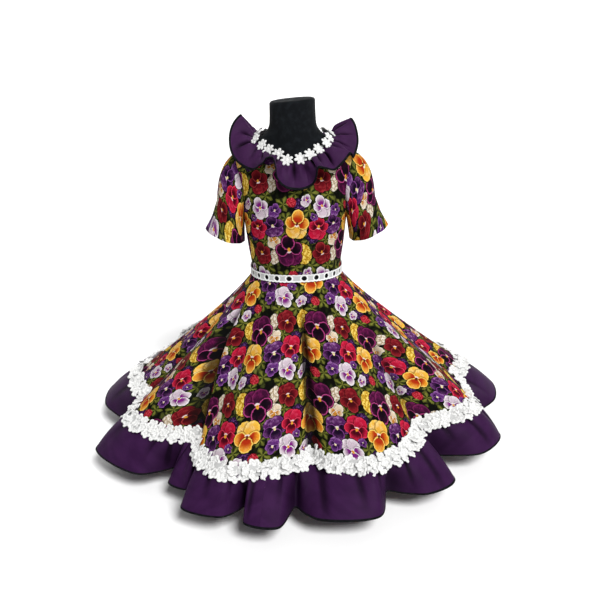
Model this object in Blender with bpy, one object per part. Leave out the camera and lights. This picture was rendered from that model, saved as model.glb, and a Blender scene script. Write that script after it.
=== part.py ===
"""Girl's huasa dress on a limbless dress form: printed bodice, short sleeves and round skirt,
gathered collar and hem ruffle with bias binding, flower lace and an eyelet lace belt.

Metres, +Z up, the front of the dress towards -Y. Azimuths are degrees from the front, growing
towards +X. The origin is the middle of the stand's underside, on the floor.
"""

import math
from collections import namedtuple

import bmesh
import bpy
import numpy as np

# Driving sizes
WAIST = 0.372            # waist seam above the floor
COTTON = 0.0016          # wall of the printed cloth
SATIN = 0.0014           # wall of the collar and the hem ruffle
SEAM = 0.0003            # gap between two sewn pieces
FORM_EASE = 0.0025       # air between the form and the bodice
SHOULDER_EASE = 0.0009   # the dress hangs from the form's shoulders
BINDING = 0.0050         # width of the black bias binding
BINDING_WALL = 0.0024
HEM_GAP = 0.0009         # gap above the binding of the hem, where the folds twist
FLOWER_LACE_WALL = 0.0022
EYELET_LACE_WALL = 0.0012
RIBBON_WALL = 0.0010

# The form and the bodice share these sections. Heights are above the waist at the side, the
# front and the back of the ring, so the upper rings climb over the shoulders.
Section = namedtuple("Section", "side front back half_width half_depth")
TORSO = [
    Section(-0.150, -0.150, -0.150, 0.104, 0.083),   # 0 cut end below the hips
    Section(-0.095, -0.095, -0.095, 0.108, 0.088),   # 1 hips
    Section(-0.045, -0.045, -0.045, 0.100, 0.081),   # 2
    Section(0.000, 0.000, 0.000, 0.0925, 0.0770),    # 3 waist
    Section(0.055, 0.055, 0.055, 0.0985, 0.0810),    # 4 ribs
    Section(0.115, 0.115, 0.115, 0.1050, 0.0865),    # 5 under the arms
    Section(0.165, 0.162, 0.165, 0.1110, 0.0850),    # 6 chest
    Section(0.205, 0.192, 0.207, 0.1170, 0.0800),    # 7
    Section(0.243, 0.214, 0.238, 0.1190, 0.0745),    # 8 shoulder ends
    Section(0.263, 0.229, 0.256, 0.0985, 0.0690),    # 9
    Section(0.277, 0.241, 0.268, 0.0760, 0.0620),    # 10 neckline
    Section(0.288, 0.256, 0.280, 0.0610, 0.0545),    # 11
    Section(0.303, 0.282, 0.298, 0.0500, 0.0485),    # 12
    Section(0.324, 0.320, 0.322, 0.0473, 0.0460),    # 13 neck
    Section(0.352, 0.352, 0.352, 0.0468, 0.0455),    # 14
]
ROUNDNESS = 2.3          # 2 is an ellipse, more is squarer
WAIST_RING, UNDERARM_RING, SHOULDER_RING, NECK_RING, TOP_RING = 3, 5, 8.25, 10, 14
FORM_BEVEL = 0.008       # rounding at the cut end below the hips
NECK_EDGE = 0.005        # rounding at the top of the neck
NECK_TILT = 0.062        # the neck is cut off a little higher on its left
ARMHOLE_HALF_ANGLE = 27.0
SLEEVE_IN_HOLE = 0.988   # the sleeve's edge lies just inside the armhole's

# Sleeves: a cuff ring that hangs beside the waist, tilted as the arm would hold it. One row for
# each side, with the middle of its cuff, and the fullness of its head and below it
Sleeve = namedtuple("Sleeve", "side cuff_out head swell")
SLEEVES = {
    "sleeve_left": Sleeve(1, 0.1550, 0.013, 0.007),
    "sleeve_right": Sleeve(-1, 0.1490, 0.011, 0.005),
}
CUFF_HEIGHT = 0.0760
CUFF_HALF_WIDTH, CUFF_HALF_DEPTH, CUFF_TILT = 0.0400, 0.0470, 21.0
SLEEVE_FLARE, FLARE_FROM = 0.007, 0.80

# Skirt: one row for each flute, with the azimuth and the reach of its crest, and of the hollow
# that follows it, at the edge of the printed cloth
Flute = namedtuple("Flute", "crest reach hollow inset")
FLUTES = [
    Flute(-179, 0.398, -159, 0.362),
    Flute(-139, 0.406, -118, 0.364),
    Flute(-96, 0.380, -76, 0.362),
    Flute(-60, 0.400, -38, 0.352),
    Flute(-19, 0.422, 2, 0.364),
    Flute(20, 0.412, 46, 0.352),
    Flute(64, 0.400, 84, 0.364),
    Flute(98, 0.386, 120, 0.358),
    Flute(143, 0.400, 162, 0.364),
]
SKIRT_EDGE = -0.262      # height of the printed edge above the waist
EDGE_LIFT = 0.10         # how much a crest's edge rises for each metre it reaches out
MEAN_EDGE = 0.386
SKIRT_TOP = -0.0004
SKIRT_BAND, SKIRT_STEP, BAND_FLARE = 0.03, 0.0085, 0.0008    # straight part behind the belt
SKIRT_BOW = 0.004        # how far the cloth swells out between waist and edge
SKIRT_HANG = 1.2         # 1 flares out evenly, more hangs steeper under the waist

# Hem ruffle: one row for each fold, with the azimuth of its middle, half its width in degrees,
# the reach of its two corners, and the hollow that follows it
Fold = namedtuple("Fold", "middle half_width left right hollow inset")
FOLDS = [
    Fold(-179, 6.5, 0.468, 0.474, -169, 0.398),
    Fold(-158, 6.0, 0.458, 0.462, -148, 0.388),
    Fold(-138, 6.5, 0.470, 0.464, -128, 0.402),
    Fold(-117, 6.0, 0.456, 0.464, -106.5, 0.396),
    Fold(-95, 6.5, 0.466, 0.458, -74, 0.400),
    Fold(-56, 8.0, 0.478, 0.446, -42.5, 0.374),
    Fold(-35.5, 2.8, 0.418, 0.418, -30.4, 0.402),
    Fold(-23.2, 4.8, 0.470, 0.468, -13.8, 0.424),
    Fold(-8.7, 3.7, 0.476, 0.482, -1.6, 0.426),
    Fold(10.7, 6.0, 0.461, 0.476, 23.4, 0.416),
    Fold(36, 4.5, 0.456, 0.455, 46.5, 0.376),
    Fold(60.5, 5.5, 0.450, 0.464, 73.0, 0.394),
    Fold(92, 6.0, 0.456, 0.468, 103.0, 0.400),
    Fold(115, 6.0, 0.462, 0.456, 126, 0.386),
    Fold(137, 6.5, 0.468, 0.472, 148, 0.400),
    Fold(158.5, 6.0, 0.458, 0.454, 169, 0.388),
]
FOLD_KNOTS = 3           # two corners and a hollow
HEM = -0.327             # height of the hem above the waist
HEM_LIFT, MEAN_HEM = 0.10, 0.44
RUFFLE_WIDTH = 0.090
RUFFLE_BELL = 0.004      # outward bow of the ruffle between seam and hem

# Collar: one row for each crest or hollow along the neckline, from the wearer's right back
# round to the left back, with the azimuth it is sewn at, the azimuth it points to, its lift
# above the level and its width
Lobe = namedtuple("Lobe", "sewn points lift width")
COLLAR = [
    Lobe(-179.4, -179, -12, 0.054),
    Lobe(-165, -166, -38, 0.056),
    Lobe(-146, -150, -8, 0.056),
    Lobe(-124, -130, 14, 0.057),
    Lobe(-100, -108, 55, 0.058),
    Lobe(-84, -87, 8, 0.055),
    Lobe(-68, -68, -30, 0.059),
    Lobe(-54, -32, -42, 0.057),
    Lobe(-43, -8, -16, 0.057),
    Lobe(-36, -4, 2, 0.057),
    Lobe(-28.5, 1, 7, 0.057),
    Lobe(-20.5, -4, -8, 0.057),
    Lobe(-13, -12, -34, 0.058),
    Lobe(-4, -8, -55, 0.061),
    Lobe(5, 12, -58, 0.063),
    Lobe(13, 24, -48, 0.060),
    Lobe(19, 18, -24, 0.057),
    Lobe(26, 12, -13, 0.056),
    Lobe(35, 20, -24, 0.056),
    Lobe(45, 38, -40, 0.056),
    Lobe(54, 50, -28, 0.056),
    Lobe(61, 61, -17, 0.057),
    Lobe(68, 72, -32, 0.062),
    Lobe(77, 79, -20, 0.060),
    Lobe(89, 92, 6, 0.057),
    Lobe(103, 103, 36, 0.059),
    Lobe(126, 132, 6, 0.056),
    Lobe(148, 150, -8, 0.056),
    Lobe(165, 166, -38, 0.056),
    Lobe(179.4, 179, -12, 0.054),
]
COLLAR_WIDTH = 0.056     # of most rows
COLLAR_FALL = 26.0       # degrees that the cloth turns down between the seam and its edge
GATHERS_PER_LOBE = 1.5   # small gathers at the neckline for each row above
GATHER_DEPTH = 0.0013

# Lace
NECK_FLOWERS = 21
HEM_FLOWER_PITCH, HEM_FLOWER_RISE = 0.040, 0.0010
NECK_LACE_UP, NECK_LACE_DOWN = 0.70, 0.19    # in rings up the neck, and out along the collar
HEM_LACE_UP, HEM_LACE_DOWN = 0.935, 0.16     # along the skirt, and along the ruffle
LACE_AIR, RUFFLE_AIR = 0.0005, 0.0036
EYELETS, BELT_WIDTH, EYELET_HALF_WIDTH, EYELET_HALF_HEIGHT = 24, 0.0165, 0.0042, 0.0036
RIBBON_WIDTH, BELT_FLARE, BELT_AIR = 0.0105, 0.2, 0.0010
BELT_OPENING = 0.0070    # at the centre back

# Centre back fastening
ZIP_WIDTH, ZIP_WALL = 0.0046, 0.0012
ZIP_END = 0.15           # as far down the skirt
ZIP_TIP = 0.0008         # width at that end
SLIDER_RING = 9.0        # where the closed slider sits
SLIDER_HALF_WIDTH, SLIDER_HALF_LENGTH, SLIDER_THICKNESS = 0.0026, 0.0043, 0.0022
LOOP_HALF_WIDTH, LOOP_INNER, LOOP_OUTER = 0.0008, 0.00095, 0.00185
PULL_HALF_WIDTH, PULL_HALF_THICKNESS, PULL_LENGTH = 0.0020, 0.00055, 0.0165
PULL_EYE_HALF_WIDTH, PULL_EYE_END = 0.00115, 0.00225

# Stand
BASE_RADIUS, BASE_THICKNESS, BASE_EDGE = 0.145, 0.010, 0.003
POLE_RADIUS = 0.0125

Finish = namedtuple("Finish", "red green blue roughness metallic")
FINISHES = {
    "printed_cotton": Finish(0.16, 0.06, 0.07, 0.85, 0.0),
    "purple_satin": Finish(0.060, 0.018, 0.085, 0.45, 0.0),
    "black_binding": Finish(0.012, 0.013, 0.014, 0.55, 0.0),
    "white_lace": Finish(0.86, 0.85, 0.82, 0.80, 0.0),
    "black_ribbon": Finish(0.008, 0.008, 0.009, 0.40, 0.0),
    "form_cover": Finish(0.012, 0.013, 0.015, 0.90, 0.0),
    "stand_paint": Finish(0.015, 0.015, 0.016, 0.35, 0.0),
    "zip_tape": Finish(0.03, 0.02, 0.03, 0.60, 0.0),
    "zip_metal": Finish(0.03, 0.03, 0.03, 0.35, 0.8),
}


def table(rows, field):
    return np.array([getattr(row, field) for row in rows], float)


def hermite(p0, p1, p2, p3, f):
    """Catmull-Rom curve between p1 and p2."""
    return 0.5 * (
        2 * p1 + (p2 - p0) * f + (2 * p0 - 5 * p1 + 4 * p2 - p3) * f**2 + (3 * p1 - p0 - 3 * p2 + p3) * f**3
    )


def open_spline(values, at):
    """Values of an open row of knots at fractional row numbers."""
    values = np.asarray(values, float)
    last = len(values) - 1
    i = np.clip(np.floor(at).astype(int), 0, last - 1)
    pick = [values[np.clip(i + k, 0, last)] for k in (-1, 0, 1, 2)]
    return hermite(*pick, at - i)


def eased_between(azimuths, values, at):
    """Closed curve through (azimuth, value) knots in degrees, level at each knot."""
    order = np.argsort(azimuths)
    a, v = np.asarray(azimuths, float)[order], np.asarray(values, float)[order]
    n = len(a)
    a = np.concatenate([a - 360, a, a + 360])
    v = np.tile(v, 3)
    wrapped = (np.asarray(at, float) - a[n]) % 360 + a[n]
    i = np.clip(np.searchsorted(a, wrapped, "right") - 1, n, 2 * n - 1)
    f = (wrapped - a[i]) / (a[i + 1] - a[i])
    return v[i] + (v[i + 1] - v[i]) * f * f * (3 - 2 * f)


def unit(vectors):
    return vectors / np.maximum(np.linalg.norm(vectors, axis=-1, keepdims=True), 1e-12)


def lifted(surface, across, up, out, step=0.02):
    """A surface moved out along its own normal."""
    across, up = np.broadcast_arrays(np.asarray(across, float), np.asarray(up, float))
    along = surface(across + step, up) - surface(across - step, up)
    rise = surface(across, up + step) - surface(across, up - step)
    return surface(across, up) + unit(np.cross(along, rise)) * np.asarray(out)[..., None]


def around(azimuth, radius, height):
    """Point at an azimuth in degrees from the front."""
    a = np.radians(azimuth)
    return np.stack([radius * np.sin(a), -radius * np.cos(a), height + 0 * a], axis=-1)


def smooth(f):
    f = np.clip(f, 0, 1)
    return f * f * (3 - 2 * f)


def torso(azimuth, ring):
    """Surface of the dress form at an azimuth and a fractional row of TORSO."""
    azimuth, ring = np.broadcast_arrays(np.asarray(azimuth, float), np.asarray(ring, float))
    at = {field: open_spline(table(TORSO, field), ring) for field in Section._fields}
    a = np.radians(azimuth)
    s, c = np.sin(a), np.cos(a)
    power = 2 / ROUNDNESS
    x = at["half_width"] * np.sign(s) * np.abs(s) ** power
    y = -at["half_depth"] * np.sign(c) * np.abs(c) ** power
    z = at["side"] * s**2 + np.where(c > 0, at["front"], at["back"]) * c**2
    z = z + x * NECK_TILT * smooth((ring - 12) / 2)
    return np.stack([x, y, z + WAIST], axis=-1)


def bodice(azimuth, ring, out=0.0):
    """Outer face of the bodice, or a surface that far outside it."""
    azimuth, ring = np.broadcast_arrays(np.asarray(azimuth, float), np.asarray(ring, float))
    ease = FORM_EASE + (SHOULDER_EASE - FORM_EASE) * smooth((ring - SHOULDER_RING) / 1.5)
    return lifted(torso, azimuth, ring, ease + COTTON + out, 0.5)


def armhole(ring):
    """Half angle of the armhole at a ring, 0 above and below it."""
    middle, half = (UNDERARM_RING + SHOULDER_RING) / 2, (SHOULDER_RING - UNDERARM_RING) / 2
    return ARMHOLE_HALF_ANGLE * np.sqrt(np.clip(1 - ((ring - middle) / half) ** 2, 0, None))


def sleeve(shape, turn, down):
    """Outer face of a sleeve: shape is a row of SLEEVES, turn is an angle from the shoulder end
    through the front, and down is 0 at the armhole and 1 at the cuff."""
    turn, down = np.broadcast_arrays(np.asarray(turn, float), np.asarray(down, float))
    middle, half = (UNDERARM_RING + SHOULDER_RING) / 2, (SHOULDER_RING - UNDERARM_RING) / 2 * SLEEVE_IN_HOLE
    hole = bodice(90.0 - ARMHOLE_HALF_ANGLE * SLEEVE_IN_HOLE * np.sin(turn), middle + half * np.cos(turn))
    tilt = math.radians(CUFF_TILT)
    across = np.array([math.cos(tilt), 0, math.sin(tilt)])
    forward = np.array([0, -1.0, 0])
    centre = np.array([shape.cuff_out, 0, CUFF_HEIGHT + WAIST])
    c, s = np.cos(turn)[..., None], np.sin(turn)[..., None]
    cuff = centre + across * c * CUFF_HALF_WIDTH + forward * s * CUFF_HALF_DEPTH
    point = hole + (cuff - hole) * down[..., None]
    rise = np.sin(math.pi * np.clip(down / 0.62, 0, 1) ** 0.7)
    head = shape.head * rise * np.clip(np.cos(turn) + 0.35, 0, 1.2)
    point = point + np.array([0.92, 0, 0.38]) * head[..., None]
    flare = SLEEVE_FLARE * np.clip((down - FLARE_FROM) / (1 - FLARE_FROM), 0, 1) ** 1.4
    swell = shape.swell * np.sin(math.pi * down)
    outward = across * c * np.clip(0.5 + 0.8 * np.cos(turn), 0, 1)[..., None] + forward * s
    point = point + outward * (flare + swell)[..., None]
    return point * np.array([shape.side, 1, 1])


def skirt(azimuth, down):
    """Outer face of the printed skirt, from 0 at the waist to 1 at its edge."""
    azimuth, down = np.broadcast_arrays(np.asarray(azimuth, float), np.asarray(down, float))
    top = bodice(azimuth, WAIST_RING)
    waist_radius = np.hypot(top[..., 0], top[..., 1])
    heading = np.degrees(np.arctan2(top[..., 0], -top[..., 1]))
    swing = (azimuth - heading + 180) % 360 - 180
    crests = np.concatenate([table(FLUTES, "crest"), table(FLUTES, "hollow")])
    reaches = np.concatenate([table(FLUTES, "reach"), table(FLUTES, "inset")])
    edge = eased_between(crests, reaches, azimuth)
    band = np.clip(down / SKIRT_BAND, 0, 1)
    below = np.clip((down - SKIRT_BAND) / (1 - SKIRT_BAND), 0, None)
    bow = SKIRT_BOW * np.sin(math.pi * np.clip(below, 0, 1))
    radius = waist_radius + BAND_FLARE * band
    radius = radius + (MEAN_EDGE - waist_radius - BAND_FLARE) * below**SKIRT_HANG
    radius = radius + (edge - MEAN_EDGE) * np.clip((below - 0.06) / 0.94, 0, None) ** 1.2 + bow * 0.25
    edge_height = SKIRT_EDGE + (edge - MEAN_EDGE) * EDGE_LIFT
    height = SKIRT_TOP - SKIRT_STEP * band + (edge_height - SKIRT_TOP + SKIRT_STEP) * below + bow * 0.55
    return around(heading + swing * np.clip(below * 4, 0, 1), radius, height + WAIST)


def fold_plan():
    """Azimuth and reach of the hem's knots: left corner, right corner and hollow of each fold."""
    plan = []
    for row in FOLDS:
        plan.append((row.middle - row.half_width, row.left))
        plan.append((row.middle + row.half_width, row.right))
        plan.append((row.hollow, row.inset))
    return np.array(plan)


RUFFLE_KNOTS = FOLD_KNOTS * len(FOLDS)


def hem_plan(at):
    """Azimuth and plan position of the hem at a fractional knot of the closed row of folds."""
    plan = fold_plan()
    i = np.floor(at).astype(int)
    f = at - i
    near = i[..., None] + np.array([-1, 0, 1, 2])
    azimuth = plan[near % RUFFLE_KNOTS, 0] + near // RUFFLE_KNOTS * 360
    reach = plan[near % RUFFLE_KNOTS, 1]
    point = around(azimuth, reach, 0)
    point = hermite(*(point[..., k, :] for k in range(4)), f[..., None])
    return azimuth[..., 1] + (azimuth[..., 2] - azimuth[..., 1]) * f, point


def ruffle(at, down):
    """Outer face of the hem ruffle: at is the knot, down is 0 at the seam and 1 at the hem."""
    at, down = np.broadcast_arrays(np.asarray(at, float), np.asarray(down, float))
    azimuth, hem = hem_plan(at)
    top = skirt(azimuth, 1.0)
    top = top + unit(top - skirt(azimuth, 0.97)) * SEAM
    reach = np.hypot(hem[..., 0], hem[..., 1])
    hem[..., 2] = HEM + WAIST + (reach - MEAN_HEM) * HEM_LIFT
    outward = np.clip(down, 0, None)[..., None] ** 0.78
    share = np.concatenate([outward, outward, down[..., None]], axis=-1)
    point = top + (hem - top) * share
    away = unit(point * np.array([1, 1, 0]))
    return point + away * (RUFFLE_BELL * np.sin(math.pi * down))[..., None]


def hem_normals(at):
    """Outward normals of the ruffle where its binding starts."""
    start = 1 - BINDING / RUFFLE_WIDTH + 0 * at
    return unit(lifted(ruffle, at, start, -1.0) - ruffle(at, start))


def knot_at(azimuth):
    """Knot of the ruffle at an azimuth."""
    plan = fold_plan()[:, 0]
    turns = np.concatenate([plan - 360, plan, plan + 360])
    return np.interp(azimuth, turns, np.arange(len(turns)) - RUFFLE_KNOTS)


def collar(at, out):
    """Upper face of the collar: at is the fractional row of COLLAR, out is 0 at the seam and 1 at
    the outer edge."""
    at, out = np.broadcast_arrays(np.asarray(at, float), np.asarray(out, float))
    lobe = {field: open_spline(table(COLLAR, field), at) for field in Lobe._fields}
    point = bodice(lobe["sewn"], NECK_RING, SEAM + SATIN)
    heading = np.radians(lobe["points"])
    flat = np.stack([np.sin(heading), -np.cos(heading), 0 * heading], axis=-1)
    steps = 10
    for k in range(steps):
        lift = np.radians(lobe["lift"] + COLLAR_FALL * (0.5 - (k + 0.5) / steps))[..., None]
        stride = (np.clip(out * steps - k, 0 if k else None, 1) * lobe["width"] / steps)[..., None]
        point = point + (flat * np.cos(lift) + np.array([0, 0, 1.0]) * np.sin(lift)) * stride
    return point


def gathered_collar(at, out):
    """The collar with the small gathers that fade out from its seam."""
    fade = np.clip(1 - out / 0.70, 0, 1) * np.clip(out / 0.10, 0, 1)
    depth = GATHER_DEPTH * fade * np.sin(2 * math.pi * GATHERS_PER_LOBE * (at + 0.125))
    return lifted(collar, at, out, depth)


def neck_lace(at, across, lift=0.0):
    """Outer face of the neck lace: across runs from -1 on the collar to 1 on the form's neck."""
    at, across = np.broadcast_arrays(np.asarray(at, float), np.asarray(across, float))
    sewn = open_spline(table(COLLAR, "sewn"), at)
    air = LACE_AIR + FLOWER_LACE_WALL + lift
    on_neck = lifted(torso, sewn, NECK_RING + NECK_LACE_UP, air + 0 * at, 0.5)
    on_collar = lifted(collar, at, NECK_LACE_DOWN + 0 * at, -air - GATHER_DEPTH)
    seam = lifted(collar, at, 0.02 + 0 * at, -air - GATHER_DEPTH * 0.4)
    middle = (on_neck + on_collar) / 2
    facing = unit(np.cross(np.gradient(seam, axis=0), on_neck - on_collar))
    short = np.clip(np.sum((seam - middle) * facing, axis=-1, keepdims=True), 0, None)
    middle = middle + facing * short
    f = across[..., None]
    return middle * (1 - f * f) + on_neck * f * (1 + f) / 2 - on_collar * f * (1 - f) / 2


def edge_normals(azimuth):
    """Normals of the skirt at its edge, which the ruffle's top shares."""
    along = skirt(azimuth + 0.5, 1.0) - skirt(azimuth - 0.5, 1.0)
    return unit(np.cross(along, skirt(azimuth, 0.97) - skirt(azimuth, 1.0)))


def hem_lace(azimuth, across, lift):
    """Hem lace, that far above its underside: across runs from -1 on the ruffle to 1 on the skirt."""
    azimuth, across = np.broadcast_arrays(np.asarray(azimuth, float), np.asarray(across, float))
    air = LACE_AIR + lift
    knot = knot_at(azimuth)
    on_skirt = skirt(azimuth, HEM_LACE_UP) + edge_normals(azimuth) * air
    seam = skirt(azimuth, 1.0) + edge_normals(azimuth) * air
    on_ruffle = lifted(ruffle, knot, HEM_LACE_DOWN, -air - RUFFLE_AIR)
    f = across[..., None]
    return np.where(f > 0, seam + (on_skirt - seam) * f, seam + (on_ruffle - seam) * -f)


def belt(azimuth, height, out):
    """A band round the waist seam, at a height above it and that far outside the bodice."""
    azimuth, height = np.broadcast_arrays(np.asarray(azimuth, float), np.asarray(height, float))
    point = bodice(azimuth, WAIST_RING, out + BELT_FLARE * np.clip(np.abs(height) - RIBBON_WIDTH / 2, 0, None))
    point[..., 2] = WAIST + height
    return point


def material(name):
    found = bpy.data.materials.get(name)
    if found:
        return found
    finish = FINISHES[name]
    made = bpy.data.materials.new(name)
    made.use_nodes = True
    shader = made.node_tree.nodes["Principled BSDF"]
    shader.inputs["Base Color"].default_value = (finish.red, finish.green, finish.blue, 1)
    shader.inputs["Roughness"].default_value = finish.roughness
    shader.inputs["Metallic"].default_value = finish.metallic
    made.diffuse_color = (finish.red, finish.green, finish.blue, 1)
    return made


def solid(name, points, faces, finish):
    mesh = bpy.data.meshes.new(name)
    mesh.from_pydata([tuple(map(float, p)) for p in points], [], faces)
    shape = bmesh.new()
    shape.from_mesh(mesh)
    bmesh.ops.recalc_face_normals(shape, faces=shape.faces)
    shape.to_mesh(mesh)
    shape.free()
    mesh.materials.append(material(finish))
    mesh.shade_smooth()
    mesh.set_sharp_from_angle(angle=math.radians(40))
    made = bpy.data.objects.new(name, mesh)
    bpy.context.scene.collection.objects.link(made)
    return made


def halves(cell):
    """The two triangles of a cell's four points, cut along its shorter diagonal. Both faces of a
    wall use the same cut, so that they can't pass through each other where the cloth twists."""
    a, b, c, d = cell
    return [(0, 1, 2), (0, 2, 3)] if np.linalg.norm(a - c) <= np.linalg.norm(b - d) else [(0, 1, 3), (1, 2, 3)]


def wall(name, outer, inner, finish, closed=False, holes=()):
    """A closed wall between two grids of points of one size, with some cells cut through."""
    columns, rows = outer.shape[:2]
    points = np.concatenate([outer.reshape(-1, 3), inner.reshape(-1, 3)])
    spans = columns if closed else columns - 1
    cells = {(i, j) for i in range(spans) for j in range(rows - 1)} - set(holes)

    def at(layer, i, j):
        return layer * columns * rows + (i % columns) * rows + j

    faces = []
    for i, j in sorted(cells):
        corners = [(i, j), (i + 1, j), (i + 1, j + 1), (i, j + 1)]
        for half in halves([outer[i % columns, j] for i, j in corners]):
            faces.append([at(0, *corners[k]) for k in half])
            faces.append([at(1, *corners[k]) for k in reversed(half)])
        left, right = ((i - 1) % spans, (i + 1) % spans) if closed else (i - 1, i + 1)
        beside = [(i, j - 1), (right, j), (i, j + 1), (left, j)]
        for k, cell in enumerate(beside):
            if cell not in cells:
                a, b = corners[k], corners[(k + 1) % 4]
                faces.append([at(0, *b), at(0, *a), at(1, *a), at(1, *b)])
    return solid(name, points, faces, finish)


def cloth(name, surface, across, up, thickness, finish, closed=False, side=-1, kept=None):
    """A wall behind an outer face. kept maps a row to the outward normals that it shares with
    its neighbour."""
    outer = surface(across, up)
    inner = lifted(surface, across, up, side * thickness)
    for row, normals in (kept or {}).items():
        inner[:, row] = outer[:, row] - normals * thickness
    return wall(name, outer, inner, finish, closed)


def rows_and_columns(across, up):
    return np.meshgrid(across, up, indexing="ij")


def capped(name, shell, finish):
    """A solid from closed rings, with a flat face at each end."""
    columns, rows = shell.shape[:2]
    faces = []
    for i in range(columns):
        k = (i + 1) % columns
        for j in range(rows - 1):
            faces.append((i * rows + j, k * rows + j, k * rows + j + 1, i * rows + j + 1))
    faces.append([i * rows for i in range(columns)][::-1])
    faces.append([i * rows + rows - 1 for i in range(columns)])
    return solid(name, shell.reshape(-1, 3), faces, finish)


def turned(name, profile, finish, segments):
    """A solid of revolution from (radius, height) points, bottom to top."""
    angles = np.linspace(0, 2 * math.pi, segments, endpoint=False)
    points = np.array([(r * math.cos(a), r * math.sin(a), z) for a in angles for r, z in profile])
    return capped(name, points.reshape(segments, len(profile), 3), finish)


SLEEVE_TURNS = np.linspace(0, 2 * math.pi, 18, endpoint=False)
ARMHOLE_RINGS = (UNDERARM_RING + SHOULDER_RING) / 2 - (SHOULDER_RING - UNDERARM_RING) / 2 * np.cos(SLEEVE_TURNS[:10])
BODICE_RINGS = np.concatenate([[WAIST_RING, 4], ARMHOLE_RINGS, [9, NECK_RING]])


def make_form():
    """Torso and neck of the dress form."""
    azimuths = np.arange(0, 360, 11.25)
    rings = np.concatenate([[0, 1, 2], BODICE_RINGS[[0, 1, 2, 5, 7, 8, 9, 11, 12, 13]], [11, 12, 13, TOP_RING]])
    shell = torso(*rows_and_columns(azimuths, rings))
    below = shell[:, :1] * np.array([0.90, 0.90, 1]) - np.array([0, 0, FORM_BEVEL])
    top = shell[:, -1:] * np.array([0.93, 0.93, 1]) + np.array([0, 0, NECK_EDGE])
    capped("form_torso", np.concatenate([below, shell, top], axis=1), "form_cover")


def make_stand():
    turned("stand_base", [
        (BASE_RADIUS - BASE_EDGE / 2, 0), (BASE_RADIUS, BASE_EDGE / 2),
        (BASE_RADIUS, BASE_THICKNESS - BASE_EDGE), (BASE_RADIUS - BASE_EDGE, BASE_THICKNESS),
    ], "stand_paint", 36)
    form_end = WAIST + TORSO[0].side - FORM_BEVEL
    turned("stand_pole", [
        (POLE_RADIUS, BASE_THICKNESS + SEAM), (POLE_RADIUS, form_end - SEAM),
    ], "stand_paint", 20)


def make_bodice():
    """Front and two backs. Each side edge runs round the armhole and along the shoulder seam."""
    seam = math.degrees(SEAM / 2 / 0.105)
    zipped = math.degrees((ZIP_WIDTH / 2 + SEAM) / 0.075)
    side = armhole(BODICE_RINGS) + seam
    panels = [
        ("bodice_front", -90 + side, 90 - side, 18),
        ("bodice_back_left", 90 + side, 180 - zipped + 0 * side, 9),
        ("bodice_back_right", -180 + zipped + 0 * side, -90 - side, 9),
    ]
    for name, start, end, columns in panels:
        azimuth = start + (end - start) * np.linspace(0, 1, columns + 1)[:, None]
        outer = bodice(azimuth, BODICE_RINGS)
        wall(name, outer, bodice(azimuth, BODICE_RINGS, -COTTON), "printed_cotton")


def make_sleeves():
    turn, down = rows_and_columns(SLEEVE_TURNS, np.array([0, 0.12, 0.30, 0.55, 0.82, 1.0]))
    for name, shape in SLEEVES.items():
        cloth(name, lambda a, b: sleeve(shape, a, b), turn, down, COTTON, "printed_cotton", True, -shape.side)


SKIRT_ROWS = np.array([0, SKIRT_BAND, ZIP_END, 0.40, 0.70, 1.0])
SIDE_KNOTS = knot_at(np.array([-180.0, -90.0, 90.0]))
HEM_COLUMNS = np.arange(0, RUFFLE_KNOTS, 0.5)
HEM_COLUMNS = HEM_COLUMNS[np.min(np.abs(HEM_COLUMNS[:, None] - SIDE_KNOTS), axis=1) > 0.08]
HEM_COLUMNS = np.sort(np.concatenate([HEM_COLUMNS, SIDE_KNOTS]))


def make_skirt():
    """Front and two backs, with a seam at each side and the zip in the centre back."""
    back, side = (np.hypot(*np.moveaxis(skirt(a, SKIRT_ROWS), -1, 0)[:2]) for a in (180.0, 90.0))
    gap = np.where(SKIRT_ROWS < ZIP_END, ZIP_WIDTH / 2 + SEAM, SEAM / 2)
    gap[SKIRT_ROWS == ZIP_END] = ZIP_TIP / 2 + SEAM
    centre = np.degrees(gap / back)
    side = np.degrees(SEAM / 2 / side)
    shared = hem_plan(HEM_COLUMNS)[0]
    shared = np.sort((shared + 180) % 360 - 180)
    panels = [
        ("skirt_front", -90, 90, -90 + side, 90 - side),
        ("skirt_back_left", 90, 180, 90 + side, 180 - centre),
        ("skirt_back_right", -180, -90, -180 + centre, -90 - side),
    ]
    for name, low, high, start, end in panels:
        share = (shared - low) / (high - low)
        share = np.concatenate([[0], share[(share > 0.004) & (share < 0.996)], [1]])[:, None]
        azimuth = start + (end - start) * share
        cloth(name, skirt, azimuth, SKIRT_ROWS, COTTON, "printed_cotton",
              kept={-1: edge_normals(azimuth[:, -1])}, side=1)


def make_ruffle():
    """Four lengths of ruffle, and the binding round their hem."""
    half_gap = 0.003
    joins = [SIDE_KNOTS[0], 12.5, 24.5, 36.5, SIDE_KNOTS[0] + RUFFLE_KNOTS]
    names = ["ruffle_back_right", "ruffle_front_right", "ruffle_front_left", "ruffle_back_left"]
    bound = 1 - BINDING / RUFFLE_WIDTH
    rows = np.array([0, 0.31, 0.62, bound - HEM_GAP / RUFFLE_WIDTH])
    for name, start, end in zip(names, joins, joins[1:]):
        knots = np.concatenate([HEM_COLUMNS, HEM_COLUMNS + RUFFLE_KNOTS])
        knots = knots[(knots > start + 0.02) & (knots < end - 0.02)]
        knots = np.concatenate([[start + half_gap], knots, [end - half_gap]])
        kept = {0: edge_normals(hem_plan(knots)[0]), -1: hem_normals(knots)}
        cloth(name, ruffle, *rows_and_columns(knots, rows), SATIN, "purple_satin", side=1, kept=kept)
    spare = (BINDING_WALL - SATIN) / 2
    normals = hem_normals(HEM_COLUMNS)[:, None] * np.array([[[1.0], [1.0]]])
    face = ruffle(*rows_and_columns(HEM_COLUMNS, np.array([bound, 1.0])))
    wall("hem_binding", face + normals * spare, face - normals * (SATIN + spare), "black_binding", closed=True)


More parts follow.
